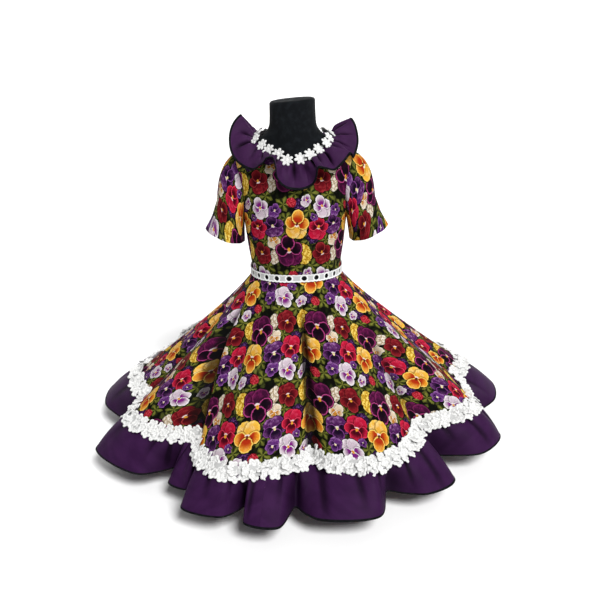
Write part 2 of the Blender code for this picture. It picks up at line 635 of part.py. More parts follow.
def make_collar():
    lobes = len(COLLAR) - 1
    columns = np.linspace(0, lobes, round(lobes * 2 * GATHERS_PER_LOBE) + 1)
    body = 1 - (BINDING + SEAM) / COLLAR_WIDTH
    at, out = rows_and_columns(columns, np.array([0, 0.16, 0.55, 1.0]) * body)
    wall("collar", gathered_collar(at, out), lifted(collar, at, out, SATIN), "purple_satin")
    at, out = rows_and_columns(columns, np.array([1 - BINDING / COLLAR_WIDTH, 1.0]))
    spare = (BINDING_WALL - SATIN) / 2
    wall("collar_binding", lifted(collar, at, out, -spare), lifted(collar, at, out, SATIN + spare), "black_binding")


def make_neck_lace():
    """A chain of five-petalled flowers over the collar's seam."""
    upper = np.array([0.46, 0.98, 0.84, 1.0, 0.80])
    lower = np.array([0.46, 0.80, 1.0, 0.84, 0.98])
    swell = np.array([0.0, 0.4, 1.0, 0.4, 0.0])
    columns = len(upper)
    sewn = table(COLLAR, "sewn")
    along = np.linspace(sewn[0] + 0.6, sewn[-1] - 0.6, NECK_FLOWERS * columns + 1)
    at = np.interp(along, sewn, np.arange(len(COLLAR)))
    k = np.arange(len(at)) % columns
    across = np.stack([-lower[k], 0 * at, upper[k]], axis=-1)
    at = np.repeat(at[:, None], 3, axis=1)
    outer = neck_lace(at, across)
    inner = neck_lace(at, across, -FLOWER_LACE_WALL)
    outer[:, 1] += unit(outer - inner)[:, 1] * 0.0008 * swell[k][:, None]
    wall("neck_lace", outer, inner, "white_lace")


def make_hem_lace():
    """A thick flower lace laid over the seam of skirt and ruffle, in two lengths."""
    azimuths = hem_plan(HEM_COLUMNS)[0]
    azimuths = np.sort((azimuths + 180) % 360 - 180)
    for name, start in (("hem_lace_front", -90), ("hem_lace_back", 90)):
        inside = np.sort((azimuths - start) % 360)
        inside = np.concatenate([[0.03], inside[(inside > 0.5) & (inside < 179.5)], [179.97]])
        across = np.array([-1.0, 0, 1.0])
        outer = hem_lace(start + inside[:, None], across, FLOWER_LACE_WALL)
        inner = hem_lace(start + inside[:, None], across, 0.0)
        lengths = np.linalg.norm(np.diff(outer[:, 1], axis=0), axis=1)
        flowers = np.maximum(np.round(lengths / HEM_FLOWER_PITCH), 1).astype(int)
        columns = np.concatenate([[0]] + [k + np.arange(1, 2 * n + 1) / (2 * n) for k, n in enumerate(flowers)])
        k = np.clip(np.floor(columns).astype(int), 0, len(lengths) - 1)
        f = (columns - k)[:, None, None]
        outer, inner = (layer[k] * (1 - f) + layer[k + 1] * f for layer in (outer, inner))
        petal = np.arange(len(columns)) % 2
        reach = (0.72 + 0.28 * petal)[:, None]
        for layer in (outer, inner):
            for edge in (0, 2):
                layer[:, edge] = layer[:, 1] + (layer[:, edge] - layer[:, 1]) * reach
        outer[:, 1] += unit(outer - inner)[:, 1] * HEM_FLOWER_RISE * petal[:, None]
        wall(name, outer, inner, "white_lace")


def make_belt():
    """Eyelet lace round the waist over a black ribbon, open at the centre back."""
    half_open = math.degrees(BELT_OPENING / 2 / 0.081)
    start, end = -180 + half_open, 180 - half_open
    pitch = (end - start) / EYELETS
    half_width = math.degrees(EYELET_HALF_WIDTH / 0.090)
    octagon = 0.42
    azimuths, halves, holes = [start], [octagon], []
    for k in range(EYELETS):
        middle = start + (k + 0.5) * pitch
        holes += [(len(azimuths) + step, 1) for step in range(3)]
        azimuths += [middle + half_width * f for f in (-1, -octagon, octagon, 1)]
        halves += [octagon, 1, 1, octagon]
    azimuths.append(end)
    ribbon = np.array([start] + azimuths[1:-1:4] + azimuths[4:-1:4] + [end])
    azimuth, height = rows_and_columns(np.sort(ribbon), np.array([-RIBBON_WIDTH / 2, RIBBON_WIDTH / 2]))
    wall("waist_ribbon", belt(azimuth, height, BELT_AIR + RIBBON_WALL), belt(azimuth, height, BELT_AIR),
         "black_ribbon")
    halves = np.array(halves + [octagon]) * EYELET_HALF_HEIGHT
    azimuths = np.repeat(np.array(azimuths)[:, None], 4, axis=1)
    edge = np.full_like(halves, BELT_WIDTH / 2)
    height = np.stack([-edge, -halves, halves, edge], axis=-1)
    out = BELT_AIR + RIBBON_WALL + SEAM
    wall("waist_lace", belt(azimuths, height, out + EYELET_LACE_WALL), belt(azimuths, height, out),
         "white_lace", holes=holes)


def make_zip():
    """Zip strip in the centre back, its slider and its pull."""
    line = np.concatenate([skirt(180.0, np.array([ZIP_END, SKIRT_BAND])), bodice(180.0, BODICE_RINGS)])
    slope = np.gradient(line, axis=0)
    behind = unit(np.cross(slope, np.array([1.0, 0, 0]))) * -ZIP_WALL
    half = np.full((len(line), 1), ZIP_WIDTH / 2) * np.array([1.0, 0, 0])
    half[0] = ZIP_TIP / 2, 0, 0
    face = np.stack([line + half, line - half])
    wall("zip_strip", face, face + behind, "zip_tape")
    seat = bodice(180.0, SLIDER_RING, SEAM)
    up = unit(bodice(180.0, SLIDER_RING + 0.3) - bodice(180.0, SLIDER_RING - 0.3))
    out = np.cross(up, np.array([1.0, 0, 0]))
    hinge = SLIDER_THICKNESS + LOOP_INNER

    def placed(x, t, n):
        return np.array([x, 0, 0]) + up * t + out * n

    columns = [-SLIDER_HALF_WIDTH, -LOOP_HALF_WIDTH, LOOP_HALF_WIDTH, SLIDER_HALF_WIDTH]
    rows = [-SLIDER_HALF_LENGTH, -LOOP_OUTER, -LOOP_INNER, LOOP_INNER, LOOP_OUTER, SLIDER_HALF_LENGTH]
    points = [seat + placed(x, t, n) for n in (SLIDER_THICKNESS, 0) for x in columns for t in rows]

    def at(layer, i, j):
        return (layer * len(columns) + i) * len(rows) + j

    feet = [(1, 1), (1, 3)]
    faces = []
    for i in range(len(columns) - 1):
        for j in range(len(rows) - 1):
            quad = [(i, j), (i + 1, j), (i + 1, j + 1), (i, j + 1)]
            if (i, j) not in feet:
                faces.append([at(0, *c) for c in quad])
            faces.append([at(1, *c) for c in reversed(quad)])
    faces += [[at(0, i, j), at(1, i, j), at(1, i + 1, j), at(0, i + 1, j)] for i in range(3) for j in (0, 5)]
    faces += [[at(0, i, j), at(1, i, j), at(1, i, j + 1), at(0, i, j + 1)] for j in range(5) for i in (0, 3)]
    loop = [[at(0, 1, 2), at(0, 2, 2), at(0, 2, 1), at(0, 1, 1)]]
    for angle in (180, 135, 90, 45, 0):
        c, s = math.cos(math.radians(angle)), math.sin(math.radians(angle))
        start = len(points)
        for radius in (LOOP_INNER, LOOP_OUTER):
            points += [seat + placed(x, radius * c, hinge + radius * s) for x in (-LOOP_HALF_WIDTH, LOOP_HALF_WIDTH)]
        loop.append([start, start + 1, start + 3, start + 2])
    loop.append([at(0, 1, 3), at(0, 2, 3), at(0, 2, 4), at(0, 1, 4)])
    for a, b in zip(loop, loop[1:]):
        faces += [[a[k], a[(k + 1) % 4], b[(k + 1) % 4], b[k]] for k in range(4)]
    solid("zip_slider", points, faces, "zip_metal")

    columns = [-PULL_HALF_WIDTH, -PULL_EYE_HALF_WIDTH, PULL_EYE_HALF_WIDTH, PULL_HALF_WIDTH]
    rows = [PULL_HALF_THICKNESS, -PULL_HALF_THICKNESS, -PULL_EYE_END, -0.80 * PULL_LENGTH, -PULL_LENGTH]
    widths = [1, 1, 1, 1, 0.5]
    faces = [
        np.array([[placed(x * w, t, n) for t, w in zip(rows, widths)] for x in columns])
        for n in (PULL_HALF_THICKNESS, -PULL_HALF_THICKNESS)
    ]
    pull = wall("zip_pull", faces[0], faces[1], "zip_metal", holes=[(1, 1)])
    pull.location = seat + placed(0, 0, hinge)


def make_all():
    for old in list(bpy.data.objects):
        bpy.data.objects.remove(old)
    make_form()
    make_stand()
    make_bodice()
    make_sleeves()
    make_skirt()
    make_ruffle()
    make_collar()
    make_neck_lace()
    make_hem_lace()
    make_belt()
    make_zip()


make_all()
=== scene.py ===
"""Looks of a girl's huasa dress on a limbless dress form: cloth, print, lace, binding and stand.

The cut repeats the sizes and curves of the solids in metres, sampled more finely and with its
creases, so that each visible piece lies on its own solid.
"""

import math
from collections import namedtuple
from functools import partial

import bmesh
import bpy
import numpy as np
from mathutils import Matrix, Vector


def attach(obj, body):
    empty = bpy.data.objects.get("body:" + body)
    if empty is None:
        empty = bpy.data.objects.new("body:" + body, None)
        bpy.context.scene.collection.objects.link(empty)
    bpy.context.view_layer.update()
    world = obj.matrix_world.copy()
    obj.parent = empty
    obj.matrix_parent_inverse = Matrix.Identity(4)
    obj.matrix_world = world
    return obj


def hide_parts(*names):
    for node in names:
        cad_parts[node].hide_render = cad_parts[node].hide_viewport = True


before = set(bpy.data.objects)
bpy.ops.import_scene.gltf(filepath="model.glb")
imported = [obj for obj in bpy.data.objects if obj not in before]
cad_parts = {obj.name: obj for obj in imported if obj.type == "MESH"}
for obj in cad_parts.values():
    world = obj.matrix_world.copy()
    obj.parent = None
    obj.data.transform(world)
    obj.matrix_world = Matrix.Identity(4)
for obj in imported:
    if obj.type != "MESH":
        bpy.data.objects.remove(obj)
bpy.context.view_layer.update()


def rows_of(names, *rows):
    """A table with named columns."""
    kind = namedtuple("Row", names)
    return [kind(*row) for row in rows]


# Driving sizes
WAIST = 0.372            # waist seam above the floor
COTTON = 0.0016          # wall of the printed cloth
SATIN = 0.0014           # wall of the collar and the hem ruffle
SEAM = 0.0003            # gap between two sewn pieces
FORM_EASE = 0.0025       # air between the form and the bodice
SHOULDER_EASE = 0.0009   # the dress hangs from the form's shoulders
BINDING = 0.0050         # width of the black bias binding
BINDING_WALL = 0.0024
FLOWER_LACE_WALL = 0.0022
EYELET_LACE_WALL = 0.0012
RIBBON_WALL = 0.0010

# The form and the bodice share these sections. Heights are above the waist at the side, the
# front and the back of the ring, so the upper rings climb over the shoulders.
TORSO = rows_of(
    "side front back half_width half_depth",
    (-0.150, -0.150, -0.150, 0.104, 0.083),   # 0 cut end below the hips
    (-0.095, -0.095, -0.095, 0.108, 0.088),   # 1 hips
    (-0.045, -0.045, -0.045, 0.100, 0.081),   # 2
    (0.000, 0.000, 0.000, 0.0925, 0.0770),    # 3 waist
    (0.055, 0.055, 0.055, 0.0985, 0.0810),    # 4 ribs
    (0.115, 0.115, 0.115, 0.1050, 0.0865),    # 5 under the arms
    (0.165, 0.162, 0.165, 0.1110, 0.0850),    # 6 chest
    (0.205, 0.192, 0.207, 0.1170, 0.0800),    # 7
    (0.243, 0.214, 0.238, 0.1190, 0.0745),    # 8 shoulder ends
    (0.263, 0.229, 0.256, 0.0985, 0.0690),    # 9
    (0.277, 0.241, 0.268, 0.0760, 0.0620),    # 10 neckline
    (0.288, 0.256, 0.280, 0.0610, 0.0545),    # 11
    (0.303, 0.282, 0.298, 0.0500, 0.0485),    # 12
    (0.324, 0.320, 0.322, 0.0473, 0.0460),    # 13 neck
    (0.352, 0.352, 0.352, 0.0468, 0.0455),    # 14
)
ROUNDNESS = 2.3          # 2 is an ellipse, more is squarer
WAIST_RING, UNDERARM_RING, SHOULDER_RING, NECK_RING, TOP_RING = 3, 5, 8.25, 10, 14
FORM_BEVEL = 0.008       # rounding at the cut end below the hips
NECK_EDGE = 0.005        # rounding at the top of the neck
NECK_TILT = 0.062        # the neck is cut off a little higher on its left
ARMHOLE_HALF_ANGLE = 27.0
SLEEVE_IN_HOLE = 0.988   # the sleeve's edge lies just inside the armhole's
HOLE_MIDDLE, HOLE_HALF = (UNDERARM_RING + SHOULDER_RING) / 2, (SHOULDER_RING - UNDERARM_RING) / 2

# Sleeves: a cuff ring that hangs beside the waist, tilted as the arm would hold it. One row for
# each side, with the middle of its cuff, and the fullness of its head and below it
SLEEVES = rows_of(
    "name side cuff_out head swell",
    ("sleeve_left", 1, 0.1550, 0.013, 0.007),
    ("sleeve_right", -1, 0.1490, 0.011, 0.005),
)
CUFF_HEIGHT = 0.0760
CUFF_HALF_WIDTH, CUFF_HALF_DEPTH, CUFF_TILT = 0.0400, 0.0470, 21.0
SLEEVE_FLARE, FLARE_FROM = 0.007, 0.80
SLEEVE_HEM = 0.90        # where the hem is stitched, as far down the sleeve

# Skirt: one row for each flute, with the azimuth and the reach of its crest, and of the hollow
# that follows it, at the edge of the printed cloth
FLUTES = rows_of(
    "crest reach hollow inset",
    (-179, 0.398, -159, 0.362), (-139, 0.406, -118, 0.364), (-96, 0.380, -76, 0.362),
    (-60, 0.400, -38, 0.352), (-19, 0.422, 2, 0.364), (20, 0.412, 46, 0.352),
    (64, 0.400, 84, 0.364), (98, 0.386, 120, 0.358), (143, 0.400, 162, 0.364),
)
SKIRT_EDGE = -0.262      # height of the printed edge above the waist
EDGE_LIFT = 0.10         # how much a crest's edge rises for each metre it reaches out
MEAN_EDGE = 0.386
SKIRT_TOP = -0.0004
SKIRT_BAND, SKIRT_STEP, BAND_FLARE = 0.03, 0.0085, 0.0008    # straight part behind the belt
SKIRT_BOW = 0.004        # how far the cloth swells out between waist and edge
SKIRT_HANG = 1.2         # 1 flares out evenly, more hangs steeper under the waist

# Hem ruffle: one row for each fold, with the azimuth of its middle, half its width in degrees,
# the reach of its two corners, and the hollow that follows it
FOLDS = rows_of(
    "middle half_width left right hollow inset",
    (-179, 6.5, 0.468, 0.474, -169, 0.398), (-158, 6.0, 0.458, 0.462, -148, 0.388),
    (-138, 6.5, 0.470, 0.464, -128, 0.402), (-117, 6.0, 0.456, 0.464, -106.5, 0.396),
    (-95, 6.5, 0.466, 0.458, -74, 0.400), (-56, 8.0, 0.478, 0.446, -42.5, 0.374),
    (-35.5, 2.8, 0.418, 0.418, -30.4, 0.402), (-23.2, 4.8, 0.470, 0.468, -13.8, 0.424),
    (-8.7, 3.7, 0.476, 0.482, -1.6, 0.426), (10.7, 6.0, 0.461, 0.476, 23.4, 0.416),
    (36, 4.5, 0.456, 0.455, 46.5, 0.376), (60.5, 5.5, 0.450, 0.464, 73.0, 0.394),
    (92, 6.0, 0.456, 0.468, 103.0, 0.400), (115, 6.0, 0.462, 0.456, 126, 0.386),
    (137, 6.5, 0.468, 0.472, 148, 0.400), (158.5, 6.0, 0.458, 0.454, 169, 0.388),
)
FOLD_KNOTS = 3           # two corners and a hollow
HEM = -0.327             # height of the hem above the waist
HEM_LIFT, MEAN_HEM = 0.10, 0.44
RUFFLE_WIDTH = 0.090
RUFFLE_BELL = 0.004      # outward bow of the ruffle between seam and hem

# Collar: one row for each crest or hollow along the neckline, from the wearer's right back
# round to the left back, with the azimuth it is sewn at, the azimuth it points to, its lift
# above the level and its width
COLLAR = rows_of(
    "sewn points lift width",
    (-179.4, -179, -12, 0.054), (-165, -166, -38, 0.056), (-146, -150, -8, 0.056),
    (-124, -130, 14, 0.057), (-100, -108, 55, 0.058), (-84, -87, 8, 0.055),
    (-68, -68, -30, 0.059), (-54, -32, -42, 0.057), (-43, -8, -16, 0.057),
    (-36, -4, 2, 0.057), (-28.5, 1, 7, 0.057), (-20.5, -4, -8, 0.057),
    (-13, -12, -34, 0.058), (-4, -8, -55, 0.061), (5, 12, -58, 0.063),
    (13, 24, -48, 0.060), (19, 18, -24, 0.057), (26, 12, -13, 0.056),
    (35, 20, -24, 0.056), (45, 38, -40, 0.056), (54, 50, -28, 0.056),
    (61, 61, -17, 0.057), (68, 72, -32, 0.062), (77, 79, -20, 0.060),
    (89, 92, 6, 0.057), (103, 103, 36, 0.059), (126, 132, 6, 0.056),
    (148, 150, -8, 0.056), (165, 166, -38, 0.056), (179.4, 179, -12, 0.054),
)
COLLAR_WIDTH = 0.056     # of most rows
COLLAR_FALL = 26.0       # degrees that the cloth turns down between the seam and its edge
GATHERS_PER_LOBE = 1.5   # small gathers at the neckline for each row above
GATHER_DEPTH = 0.0013

# Lace
NECK_LACE_UP, NECK_LACE_DOWN = 0.70, 0.19    # in rings up the neck, and out along the collar
HEM_LACE_UP, HEM_LACE_DOWN = 0.935, 0.16     # along the skirt, and along the ruffle
LACE_AIR, RUFFLE_AIR = 0.0005, 0.0036
EYELETS, BELT_WIDTH, EYELET_HALF_WIDTH, EYELET_HALF_HEIGHT = 24, 0.0165, 0.0046, 0.0053
RIBBON_WIDTH, BELT_FLARE, BELT_AIR = 0.0105, 0.2, 0.0010
BELT_OPENING = 0.0070    # at the centre back

# Centre back fastening
ZIP_WIDTH, ZIP_WALL = 0.0046, 0.0012
ZIP_END = 0.15           # as far down the skirt
ZIP_TIP = 0.0008         # width at that end

# Stand
BASE_RADIUS, BASE_THICKNESS, BASE_EDGE = 0.145, 0.010, 0.003
POLE_RADIUS, POLE_EDGE = 0.0125, 0.0006


def table(rows, field):
    """One column of a table."""
    return np.array([getattr(row, field) for row in rows], float)


def hermite(p0, p1, p2, p3, f):
    """Catmull-Rom curve between p1 and p2."""
    return 0.5 * (
        2 * p1 + (p2 - p0) * f + (2 * p0 - 5 * p1 + 4 * p2 - p3) * f**2
        + (3 * p1 - p0 - 3 * p2 + p3) * f**3
    )


def matched(first, second):
    """Two numbers or grids, brought to one size."""
    return np.broadcast_arrays(np.asarray(first, float), np.asarray(second, float))


def open_spline(values, at):
    """Values of an open row of knots at fractional row numbers."""
    values = np.asarray(values, float)
    last = len(values) - 1
    i = np.clip(np.floor(at).astype(int), 0, last - 1)
    pick = [values[np.clip(i + k, 0, last)] for k in (-1, 0, 1, 2)]
    return hermite(*pick, at - i)


def columns_at(rows, at):
    """Each column of a table at fractional row numbers."""
    return {field: open_spline(table(rows, field), at) for field in rows[0]._fields}


def eased_between(azimuths, values, at):
    """Closed curve through (azimuth, value) knots in degrees, level at each knot."""
    order = np.argsort(azimuths)
    a, v = np.asarray(azimuths, float)[order], np.asarray(values, float)[order]
    n = len(a)
    a = np.concatenate([a - 360, a, a + 360])
    v = np.tile(v, 3)
    wrapped = (np.asarray(at, float) - a[n]) % 360 + a[n]
    i = np.clip(np.searchsorted(a, wrapped, "right") - 1, n, 2 * n - 1)
    f = (wrapped - a[i]) / (a[i + 1] - a[i])
    return v[i] + (v[i + 1] - v[i]) * f * f * (3 - 2 * f)


def unit(vectors):
    return vectors / np.maximum(np.linalg.norm(vectors, axis=-1, keepdims=True), 1e-12)


def lifted(surface, across, up, out, step=0.02):
    """A surface moved out along its own normal."""
    across, up = matched(across, up)
    along = surface(across + step, up) - surface(across - step, up)
    rise = surface(across, up + step) - surface(across, up - step)
    return surface(across, up) + unit(np.cross(along, rise)) * np.asarray(out)[..., None]


def around(azimuth, radius, height):
    """Point at an azimuth in degrees from the front."""
    a = np.radians(azimuth)
    return np.stack([radius * np.sin(a), -radius * np.cos(a), height + 0 * a], axis=-1)


def reach_of(point):
    """Level distance of a point from the pole."""
    return np.hypot(point[..., 0], point[..., 1])


def level_out(point):
    """Level way from the pole to a point."""
    return unit(point * np.array([1, 1, 0]))


def smooth(f):
    f = np.clip(f, 0, 1)
    return f * f * (3 - 2 * f)


def torso(azimuth, ring):
    """Surface of the dress form at an azimuth and a fractional row of TORSO."""
    azimuth, ring = matched(azimuth, ring)
    at = columns_at(TORSO, ring)
    a = np.radians(azimuth)
    s, c = np.sin(a), np.cos(a)
    power = 2 / ROUNDNESS
    x = at["half_width"] * np.sign(s) * np.abs(s) ** power
    y = -at["half_depth"] * np.sign(c) * np.abs(c) ** power
    z = at["side"] * s**2 + np.where(c > 0, at["front"], at["back"]) * c**2
    z = z + x * NECK_TILT * smooth((ring - 12) / 2)
    return np.stack([x, y, z + WAIST], axis=-1)


def bodice(azimuth, ring, out=0.0):
    """Outer face of the bodice, or a surface that far outside it."""
    azimuth, ring = matched(azimuth, ring)
    ease = FORM_EASE + (SHOULDER_EASE - FORM_EASE) * smooth((ring - SHOULDER_RING) / 1.5)
    return lifted(torso, azimuth, ring, ease + COTTON + out, 0.5)


def armhole(ring):
    """Half angle of the armhole at a ring, 0 above and below it."""
    return ARMHOLE_HALF_ANGLE * np.sqrt(np.clip(1 - ((ring - HOLE_MIDDLE) / HOLE_HALF) ** 2, 0, None))


def sleeve(shape, turn, down):
    """Outer face of a sleeve: shape is a row of SLEEVES, turn is an angle from the shoulder end
    through the front, and down is 0 at the armhole and 1 at the cuff."""
    turn, down = matched(turn, down)
    ring = HOLE_MIDDLE + HOLE_HALF * SLEEVE_IN_HOLE * np.cos(turn)
    hole = bodice(90.0 - ARMHOLE_HALF_ANGLE * SLEEVE_IN_HOLE * np.sin(turn), ring)
    tilt = math.radians(CUFF_TILT)
    across = np.array([math.cos(tilt), 0, math.sin(tilt)])
    forward = np.array([0, -1.0, 0])
    centre = np.array([shape.cuff_out, 0, CUFF_HEIGHT + WAIST])
    c, s = np.cos(turn)[..., None], np.sin(turn)[..., None]
    cuff = centre + across * c * CUFF_HALF_WIDTH + forward * s * CUFF_HALF_DEPTH
    point = hole + (cuff - hole) * down[..., None]
    rise = np.sin(math.pi * np.clip(down / 0.62, 0, 1) ** 0.7)
    head = shape.head * rise * np.clip(np.cos(turn) + 0.35, 0, 1.2)
    point = point + np.array([0.92, 0, 0.38]) * head[..., None]
    flare = SLEEVE_FLARE * np.clip((down - FLARE_FROM) / (1 - FLARE_FROM), 0, 1) ** 1.4
    swell = shape.swell * np.sin(math.pi * down)
    outward = across * c * np.clip(0.5 + 0.8 * np.cos(turn), 0, 1)[..., None] + forward * s
    point = point + outward * (flare + swell)[..., None]
    return point * np.array([shape.side, 1, 1])


def skirt(azimuth, down):
    """Outer face of the printed skirt, from 0 at the waist to 1 at its edge."""
    azimuth, down = matched(azimuth, down)
    top = bodice(azimuth, WAIST_RING)
    waist_radius = reach_of(top)
    heading = np.degrees(np.arctan2(top[..., 0], -top[..., 1]))
    swing = (azimuth - heading + 180) % 360 - 180
    crests = np.concatenate([table(FLUTES, "crest"), table(FLUTES, "hollow")])
    reaches = np.concatenate([table(FLUTES, "reach"), table(FLUTES, "inset")])
    edge = eased_between(crests, reaches, azimuth)
    band = np.clip(down / SKIRT_BAND, 0, 1)
    below = np.clip((down - SKIRT_BAND) / (1 - SKIRT_BAND), 0, None)
    bow = SKIRT_BOW * np.sin(math.pi * np.clip(below, 0, 1))
    radius = waist_radius + BAND_FLARE * band
    radius = radius + (MEAN_EDGE - waist_radius - BAND_FLARE) * below**SKIRT_HANG
    radius = radius + (edge - MEAN_EDGE) * np.clip((below - 0.06) / 0.94, 0, None) ** 1.2 + bow * 0.25
    edge_height = SKIRT_EDGE + (edge - MEAN_EDGE) * EDGE_LIFT
    height = SKIRT_TOP - SKIRT_STEP * band + (edge_height - SKIRT_TOP + SKIRT_STEP) * below + bow * 0.55
    return around(heading + swing * np.clip(below * 4, 0, 1), radius, height + WAIST)


def fold_plan():
    """Azimuth and reach of the hem's knots: left corner, right corner and hollow of each fold."""
    plan = []
    for row in FOLDS:
        plan.append((row.middle - row.half_width, row.left))
        plan.append((row.middle + row.half_width, row.right))
        plan.append((row.hollow, row.inset))
    return np.array(plan)


RUFFLE_KNOTS = FOLD_KNOTS * len(FOLDS)


def hem_plan(at):
    """Azimuth and plan position of the hem at a fractional knot of the closed row of folds."""
    plan = fold_plan()
    i = np.floor(at).astype(int)
    f = at - i
    near = i[..., None] + np.array([-1, 0, 1, 2])
    azimuth = plan[near % RUFFLE_KNOTS, 0] + near // RUFFLE_KNOTS * 360
    reach = plan[near % RUFFLE_KNOTS, 1]
    point = around(azimuth, reach, 0)
    point = hermite(*(point[..., k, :] for k in range(4)), f[..., None])
    return azimuth[..., 1] + (azimuth[..., 2] - azimuth[..., 1]) * f, point


def ruffle(at, down):
    """Outer face of the hem ruffle: at is the knot, down is 0 at the seam and 1 at the hem."""
    at, down = matched(at, down)
    azimuth, hem = hem_plan(at)
    top = skirt(azimuth, 1.0)
    top = top + unit(top - skirt(azimuth, 0.97)) * SEAM
    hem[..., 2] = HEM + WAIST + (reach_of(hem) - MEAN_HEM) * HEM_LIFT
    outward = np.clip(down, 0, None)[..., None] ** 0.78
    share = np.concatenate([outward, outward, down[..., None]], axis=-1)
    point = top + (hem - top) * share
    return point + level_out(point) * (RUFFLE_BELL * np.sin(math.pi * down))[..., None]


def hem_normals(at):
    """Outward normals of the ruffle where its binding starts."""
    start = 1 - BINDING / RUFFLE_WIDTH + 0 * at
    return unit(lifted(ruffle, at, start, -1.0) - ruffle(at, start))


def knot_at(azimuth):
    """Knot of the ruffle at an azimuth."""
    plan = fold_plan()[:, 0]
    turns = np.concatenate([plan - 360, plan, plan + 360])
    return np.interp(azimuth, turns, np.arange(len(turns)) - RUFFLE_KNOTS)


def collar(at, out):
    """Upper face of the collar: at is the fractional row of COLLAR, out is 0 at the seam and 1 at
    the outer edge."""
    at, out = matched(at, out)
    lobe = columns_at(COLLAR, at)
    point = bodice(lobe["sewn"], NECK_RING, SEAM + SATIN)
    heading = np.radians(lobe["points"])
    flat = np.stack([np.sin(heading), -np.cos(heading), 0 * heading], axis=-1)
    steps = 10
    for k in range(steps):
        lift = np.radians(lobe["lift"] + COLLAR_FALL * (0.5 - (k + 0.5) / steps))[..., None]
        stride = (np.clip(out * steps - k, 0 if k else None, 1) * lobe["width"] / steps)[..., None]
        point = point + (flat * np.cos(lift) + np.array([0, 0, 1.0]) * np.sin(lift)) * stride
    return point


def sewn_at(at):
    """Azimuth at which a fractional row of COLLAR is sewn."""
    return open_spline(table(COLLAR, "sewn"), at)


def neck_lace(at, across, lift=0.0):
    """Outer face of the neck lace: across runs from -1 on the collar to 1 on the form's neck."""
    at, across = matched(at, across)
    air = LACE_AIR + FLOWER_LACE_WALL + lift
    on_neck = lifted(torso, sewn_at(at), NECK_RING + NECK_LACE_UP, air + 0 * at, 0.5)
    on_collar = lifted(collar, at, NECK_LACE_DOWN + 0 * at, -air - GATHER_DEPTH)
    seam = lifted(collar, at, 0.02 + 0 * at, -air - GATHER_DEPTH * 0.4)
    middle = (on_neck + on_collar) / 2
    facing = unit(np.cross(np.gradient(seam, axis=0), on_neck - on_collar))
    short = np.clip(np.sum((seam - middle) * facing, axis=-1, keepdims=True), 0, None)
    middle = middle + facing * short
    f = across[..., None]
    return middle * (1 - f * f) + on_neck * f * (1 + f) / 2 - on_collar * f * (1 - f) / 2


def edge_normals(azimuth):
    """Normals of the skirt at its edge, which the ruffle's top shares."""
    along = skirt(azimuth + 0.5, 1.0) - skirt(azimuth - 0.5, 1.0)
    return unit(np.cross(along, skirt(azimuth, 0.97) - skirt(azimuth, 1.0)))


def hem_lace(azimuth, across, lift):
    """Hem lace, that far above its underside: across runs from -1 on the ruffle to 1 on the skirt."""
    azimuth, across = matched(azimuth, across)
    air = LACE_AIR + lift
    knot = knot_at(azimuth)
    on_skirt = skirt(azimuth, HEM_LACE_UP) + edge_normals(azimuth) * air
    seam = skirt(azimuth, 1.0) + edge_normals(azimuth) * air
    on_ruffle = lifted(ruffle, knot, HEM_LACE_DOWN, -air - RUFFLE_AIR)
    f = across[..., None]
    return np.where(f > 0, seam + (on_skirt - seam) * f, seam + (on_ruffle - seam) * -f)


def belt(azimuth, height, out):
    """A band round the waist seam, at a height above it and that far outside the bodice."""
    azimuth, height = matched(azimuth, height)
    flare = BELT_FLARE * np.clip(np.abs(height) - RIBBON_WIDTH / 2, 0, None)
    point = bodice(azimuth, WAIST_RING, out + flare)
    point[..., 2] = WAIST + height
    return point


class Wire:
    """A socket of a material's nodes that is reckoned with like a number."""

    def __init__(self, board, socket):
        self.board = board
        self.socket = socket

    def reckon(self, operation, *values):
        return self.board.node("Math", {"operation": operation}, dict(enumerate(values)))

    def beside(self, output):
        """Another output of the same node."""
        return Wire(self.board, self.socket.node.outputs[output])

    def __add__(self, other):
        return self.reckon("ADD", self, other)

    def __sub__(self, other):
        return self.reckon("SUBTRACT", self, other)

    def __rsub__(self, other):
        return self.reckon("SUBTRACT", other, self)

    def __mul__(self, other):
        return self.reckon("MULTIPLY", self, other)

    def __truediv__(self, other):
        return self.reckon("DIVIDE", self, other)

    def __pow__(self, other):
        return self.reckon("POWER", self, other)

    def __lt__(self, other):
        return self.reckon("LESS_THAN", self, other)

    def __gt__(self, other):
        return self.reckon("GREATER_THAN", self, other)

    __radd__ = __add__
    __rmul__ = __mul__

    def sine(self):
        return self.reckon("SINE", self)

    def size(self):
        return self.reckon("ABSOLUTE", self)

    def root(self):
        return self.reckon("SQRT", self)


